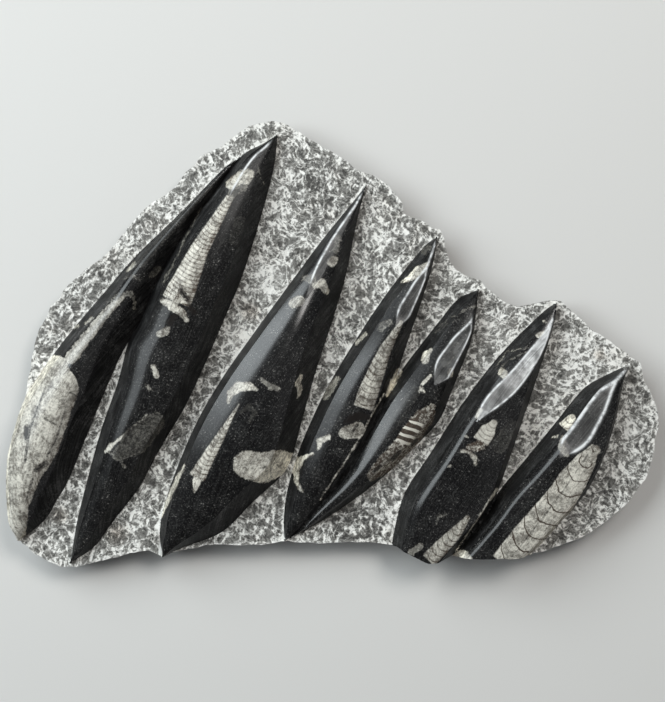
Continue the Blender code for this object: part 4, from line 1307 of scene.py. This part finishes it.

# %% [markdown]
# ## Polished crowns
#
# The crowns are waxed and glossy, so nearly all of their look is what they reflect. Shell takes a
# slightly duller polish than the limestone, and its chamber walls are worn a hair lower. The edges
# of the lozenges are worn pale, and that pale is also a painted glint. Some lengths of a crown have
# lost part of their wax: a second, matt shader stands for that, mixed in by the share that the
# survey gave each point. The lozenges take less polish than the crowns. They keep grooves and a
# film of dust, painted pale enough to be their highlight too, and they are partly matt where the
# dust is thin.

# %% Polished stone
# A pale grey for the worn edges and the dust of the lozenges, which also paints their glints and
# highlight.
WEAR_DUST_AND_GLINT = (0.72, 0.73, 0.73)
GLOSS, MATT = 0.17, 0.5  # roughness of the best polish and where it is worn off
WAXED, BARE = 0.55, 0.1  # specular levels of waxed and of bare stone


def polished_finish(name, dullness, streaks, grooves):
    """A glossy finish, duller or with more grey streaks or deeper grooves along the ridge."""
    polish = Finish(name)
    colour, shell_amount, wall, hollow = stone_colour(polish)
    lines = lengthwise(polish, 45.0, 1.1)
    colour = polish.tint(lines.step(0.40, 0.72) * streaks, colour, DUST)
    worn_off = polish.fact("dull")
    # With grooves, the lozenge's dust film is also its painted highlight.
    if grooves:
        drift = polish.noise(7.0, 3, 0.6).step(0.40, 0.60)
        film = polish.fact("film") * (0.5 + 0.5 * lines.step(0.35, 0.65)) * (0.4 + 0.8 * drift)
        colour = polish.tint(film, colour, WEAR_DUST_AND_GLINT)
        worn_off = (1 - drift) * 0.40
    # The pale edges of a lozenge are a painted glint as well as wear, broken into patches.
    worn = 0.40 + 0.60 * polish.noise(4.0, 3, 0.7).step(0.36, 0.58)
    arris = polish.fact("arris")
    rub = (arris * arris * 0.35 + arris.step(0.45, 0.95) * 0.75) * worn
    colour = polish.tint(rub, colour, WEAR_DUST_AND_GLINT)
    smear = polish.noise(11.0, 3, 0.6)
    gloss = dullness + GLOSS + 0.10 * smear + 0.12 * shell_amount + 0.15 * rub
    relief = 0.5 - 0.35 * wall * shell_amount - 0.6 * hollow + 0.03 * polish.noise(0.8, 2)
    relief = relief + lines * grooves
    normal = polish.bump(relief, distance=0.12, strength=0.6)
    matt = polish.surface(
        Base_Color=colour,
        Roughness=MATT,
        Normal=normal,
        Specular_IOR_Level=BARE,
    )
    polish.done(
        worn=matt,
        share=worn_off,
        Base_Color=colour,
        Roughness=gloss,
        Normal=normal,
        Specular_IOR_Level=WAXED,
    )


polished_finish("polished_limestone", dullness=0.0, streaks=0.12, grooves=0.0)
polished_finish("lozenge_limestone", dullness=0.13, streaks=0.9, grooves=0.3)

# %% [markdown]
# ## Ground flanks
#
# The flanks keep the lines of the grinding wheel, which run along the ridge. The mesh says how far
# along and across each point lies, so stretching noise along the ridge draws the lines, even where
# it bends. Stone powder stays in the lines in patches. The shells that reach down a flank keep
# their own colour, painted lighter there so that they look as bright as on a crown.

# %% Ground stone
FLANK_BLACK = (0.0035, 0.0034, 0.0036)
FLANK_GREY = (0.105, 0.104, 0.102)
# Shell on a flank is painted lighter than its own colour by this much.
FLANK_PAINTED_LIFT = (1.5, 1.48, 1.42)  # shell stays as bright on a flank as on a crown

ground_finish = Finish("ground_limestone")
colour, shell_amount, *_ = stone_colour(ground_finish)
lines = lengthwise(ground_finish, 50.0, 0.62)
streaks = lengthwise(ground_finish, 14.0, 1.4).step(0.48, 0.66)
powder = ground_finish.noise(0.9, 4, 0.75).step(0.47, 0.66)
patch = ground_finish.noise(8.0, 3, 0.6).step(0.38, 0.66)
grey = lines.step(0.42, 0.66) * 0.20 + (streaks * 0.40 + powder * 0.55) * (0.15 + 0.85 * patch)
matt = ground_finish.tint(grey, FLANK_BLACK, FLANK_GREY)
# A lighter painted copy of the shell, so that it looks as bright on a flank as on a crown.
shell_painted_lighter = ground_finish.tint(1.0, colour, FLANK_PAINTED_LIFT, blend="MULTIPLY")
colour = ground_finish.tint(shell_amount.step(0.15, 0.6), matt, shell_painted_lighter)
ground_finish.done(
    Base_Color=colour,
    Roughness=0.42 + 0.18 * lines,
    Normal=ground_finish.bump(lines * 0.7 + powder * 0.3, distance=0.10, strength=0.6),
    Specular_IOR_Level=0.12,
)

# %% [markdown]
# ## The chiselled field
#
# Crushed limestone is white, and what the chisel missed stays dark, so the field is salt and
# pepper. The large marks come from the same dents as the shape. Finer ones are ridged noise, whose
# thin bent lines look like the edges that a blow leaves. Some patches are whiter or darker than
# others, and the dark ones along the lower edge are painted shade. The field is paler along the
# rim, partly crushed stone and partly a painted highlight on the edge, and paler against the left
# feet of the ridges. A few spots are stained tan by iron.

# %% Tooled stone
FIELD_DARK = (0.040, 0.038, 0.035)
FIELD_MID = (0.20, 0.195, 0.18)
FIELD_WHITE = (0.82, 0.81, 0.77)
IRON_TAN = (0.52, 0.40, 0.30)
# Soft patches of the field: x, y, radius in mm, and how much whiter or darker they are. The dark
# ones along the lower edge are painted shade.
PATCHES_AND_SHADE = [(-30, 30, 17, 0.30), (-42, 2, 14, 0.28), (-25, 60, 18, 0.03), (20, 50, 12, 0.10),
           (113, -8, 26, 0.18), (52, 32, 13, 0.13), (-115, 32, 22, -0.02), (-95, 55, 20, -0.02),
           (76, 4, 14, 0.22), (98, -34, 13, 0.21), (-11, 79, 16, -0.09), (138, -38, 15, 0.13),
           (130, -70, 16, -0.06), (10, -82, 26, -0.17), (-62, -84, 18, -0.15), (82, -58, 9, 0.23),
           (0, -90, 10, -0.08), (-128, -95, 14, 0.10), (-90, -85, 14, 0.08)]
TAN_SPOTS = [(-126, -79, 6), (-100, -87, 8), (122, -5, 4.5), (-38, 15, 7)]  # x, y, radius


def soft_spot(finish, x, y, radius):
    """1 at a place on the face and 0 a radius away from it, both in mm."""
    here = finish.add("VectorMath", {"operation": "MULTIPLY"}, {0: finish.place, 1: (1, 1, 0)})
    spot = {0: here, 1: (x * MM, y * MM, 0)}
    far = finish.add("VectorMath", {"operation": "DISTANCE"}, spot, out="Value")
    return far.step(radius * MM, 0.0)


tooled = Finish("tooled_limestone")
bruised = tooled.fact("bruise")
veins = abs(tooled.noise(8.5, 4, 0.60, distortion=0.7) - 0.5).step(0.060, 0.0)
small_veins = abs(tooled.noise(4.6, 3, 0.6, distortion=0.5) - 0.5).step(0.070, 0.0)
pits = tooled.noise(2.2, 3, 0.6).step(0.46, 0.32)
brink = tooled.fact("to_rim").step(2.2, 0.2)
heel = tooled.fact("to_foot").step(1.7, 0.1)
lumps = tooled.noise(3.6, 3, 0.65) - 0.5
grain = tooled.noise(1.0, 3, 0.7)
zones = tooled.noise(26.0, 3, 0.6) - 0.5
lift = zones * 0.30
for x, y, radius, amount in PATCHES_AND_SHADE:
    lift = lift + soft_spot(tooled, x, y, radius) * amount
# How white each spot is: what the blows crushed, the lips between them, the grain and the
# patches, whose dark ones along the lower edge are painted shade.
white = 0.19 + bruised.step(0.20, 0.70) * 0.58 + veins * 0.44 + small_veins * 0.32
white = white + lumps * 0.70 + (grain - 0.5) * 1.05 + lift * 1.3 - pits * 0.22
# Paler along the rim, partly a painted highlight, and paler against the left feet of the ridges.
white = white + brink * 0.24 + heel * 0.38
tan = 0.10 * tooled.noise(16.0, 2).step(0.5, 0.7)
for x, y, radius in TAN_SPOTS:
    tan = tan + soft_spot(tooled, x, y, radius) * 0.45
base = tooled.tint(white.step(-0.05, 0.45), FIELD_DARK, FIELD_MID)
colour = tooled.tint(white.step(0.35, 1.05), base, FIELD_WHITE)
colour = tooled.tint(tan, colour, IRON_TAN, blend="MULTIPLY")
tooled.done(
    Base_Color=colour,
    Roughness=0.62 + 0.2 * grain,
    Normal=tooled.bump(0.4 * grain + 0.5 * lumps + 0.3 * veins, distance=0.5, strength=0.9),
    Specular_IOR_Level=0.4,
)

# %% [markdown]
# ## The broken rim
#
# A fresh break is dark and crystalline, with pale dust on its ledges. Both are thresholds in noise,
# coarse for the dust and fine for the crystals.

# %% Broken stone
BREAK_DARK = (0.030, 0.029, 0.028)
BREAK_PALE = (0.26, 0.25, 0.235)

broken = Finish("broken_limestone")
dust = broken.noise(2.2, 4, 0.7).step(0.46, 0.70)
crystal = broken.noise(0.6, 3, 0.7)
colour = broken.tint(dust * 0.6 + crystal.step(0.5, 0.75) * 0.3, BREAK_DARK, BREAK_PALE)
broken.done(
    Base_Color=colour,
    Roughness=0.60 + 0.25 * crystal,
    Normal=broken.bump(0.6 * dust + 0.4 * crystal, distance=0.5, strength=0.8),
    Specular_IOR_Level=0.4,
)

# %% [markdown]
# ## The sawn back
#
# A saw blade leaves arcs round its own centre, which lay well outside the slab. A wave texture in
# rings draws them once its place is moved by that centre.

# %% Sawn stone
SAWN_GREY = (0.12, 0.118, 0.112)
FROM_SAW_CENTRE = (0.35, 0.2, 0.0)  # m

sawn = Finish("sawn_limestone")
place = sawn.add("VectorMath", {"operation": "ADD"}, {0: sawn.place, 1: FROM_SAW_CENTRE})
rings = {"wave_type": "RINGS", "rings_direction": "Z"}
arcs = sawn.add("TexWave", rings, {"Vector": place, "Scale": 140.0, "Distortion": 1.5,
                                   "Detail": 2.0, "Detail Scale": 3.0}, out="Fac")
film = sawn.noise(6.0, 4, 0.6)
sawn.done(
    Base_Color=sawn.tint(arcs * 0.35 + film * 0.4, BREAK_DARK, SAWN_GREY),
    Roughness=0.70 + 0.1 * film,
    Normal=sawn.bump(arcs, distance=0.08, strength=0.5),
)

# %% [markdown]
# ## The table
#
# The plaque lies on a plain pale sheet of paper, wide enough to have no edge in sight. It belongs
# to the stage and not to the plaque.

# %% Table
TABLE_COLOUR = (0.62, 0.61, 0.59)
TABLE_SIZE = 6  # m

bpy.ops.mesh.primitive_plane_add(size=TABLE_SIZE)
table = bpy.context.object
table.name = "table"
paper = bpy.data.materials.new("plain_paper")
paper.use_nodes = True
paper_look = paper.node_tree.nodes["Principled BSDF"].inputs
paper_look["Base Color"].default_value = (*TABLE_COLOUR, 1)
paper_look["Roughness"].default_value = 0.9
table.data.materials.append(paper)
print("table:", TABLE_SIZE, "m wide")

# %% [markdown]
# ## The light
#
# A polished stone shows its lights, so they are laid out as a photographer would: a wide softbox
# low on the upper left, whose reflection runs down the left shoulders of the ridges, and a smaller
# one towards the top, which the lozenges catch. A weak, broad fill from the lower right and a dim
# sky keep the shadows open.

# %% Lights
AIM = (0, 0, 0.02)  # m, the middle of the face
SKY_COLOUR, SKY_STRENGTH = (0.9, 0.95, 1.0), 0.11


def softbox(name, place, size, power, colour):
    """A rectangular area light at a place in metres, turned towards the plaque."""
    light = bpy.data.lights.new(name, "AREA")
    light.shape = "RECTANGLE"
    light.size, light.size_y = size
    light.energy = power
    light.color = colour
    lamp = bpy.data.objects.new(name, light)
    lamp.location = place
    lamp.rotation_euler = (Vector(AIM) - Vector(place)).to_track_quat("-Z", "Y").to_euler()
    bpy.context.scene.collection.objects.link(lamp)
    print("light:", name, "of", power, "W")


softbox("window", (-0.80, 0.46, 0.85), (1.2, 0.85), 18.6, (0.90, 0.97, 1.0))
softbox("top_softbox", (0.43, 0.52, 1.12), (0.46, 0.42), 7.5, (1.0, 0.98, 0.95))
softbox("fill", (0.95, -0.75, 0.95), (1.5, 1.2), 0.85, (1.0, 0.98, 0.96))
world = bpy.data.worlds.new("studio")
bpy.context.scene.world = world
world.use_nodes = True
sky = world.node_tree.nodes["Background"].inputs
sky["Color"].default_value = (*SKY_COLOUR, 1)
sky["Strength"].default_value = SKY_STRENGTH

# %% [markdown]
# ## The camera
#
# The plaque is best seen from straight above its face, at arm's length. A longish lens fills the
# frame with it.

# %% Camera
CAMERA_PLACE = (-0.000575, -0.00322, 0.616)  # m
CAMERA_LENS = 66.9  # mm, on a 36 mm sensor
NEAREST = 0.01  # m, the nearest thing that the camera shows

lens = bpy.data.cameras.new("camera")
lens.lens = CAMERA_LENS
lens.clip_start = NEAREST
camera = bpy.data.objects.new("camera", lens)
camera.location = CAMERA_PLACE
bpy.context.scene.collection.objects.link(camera)
bpy.context.scene.camera = camera
bpy.context.scene.view_settings.view_transform = "Standard"
print("camera:", CAMERA_PLACE[2], "m up, with a lens of", CAMERA_LENS, "mm")
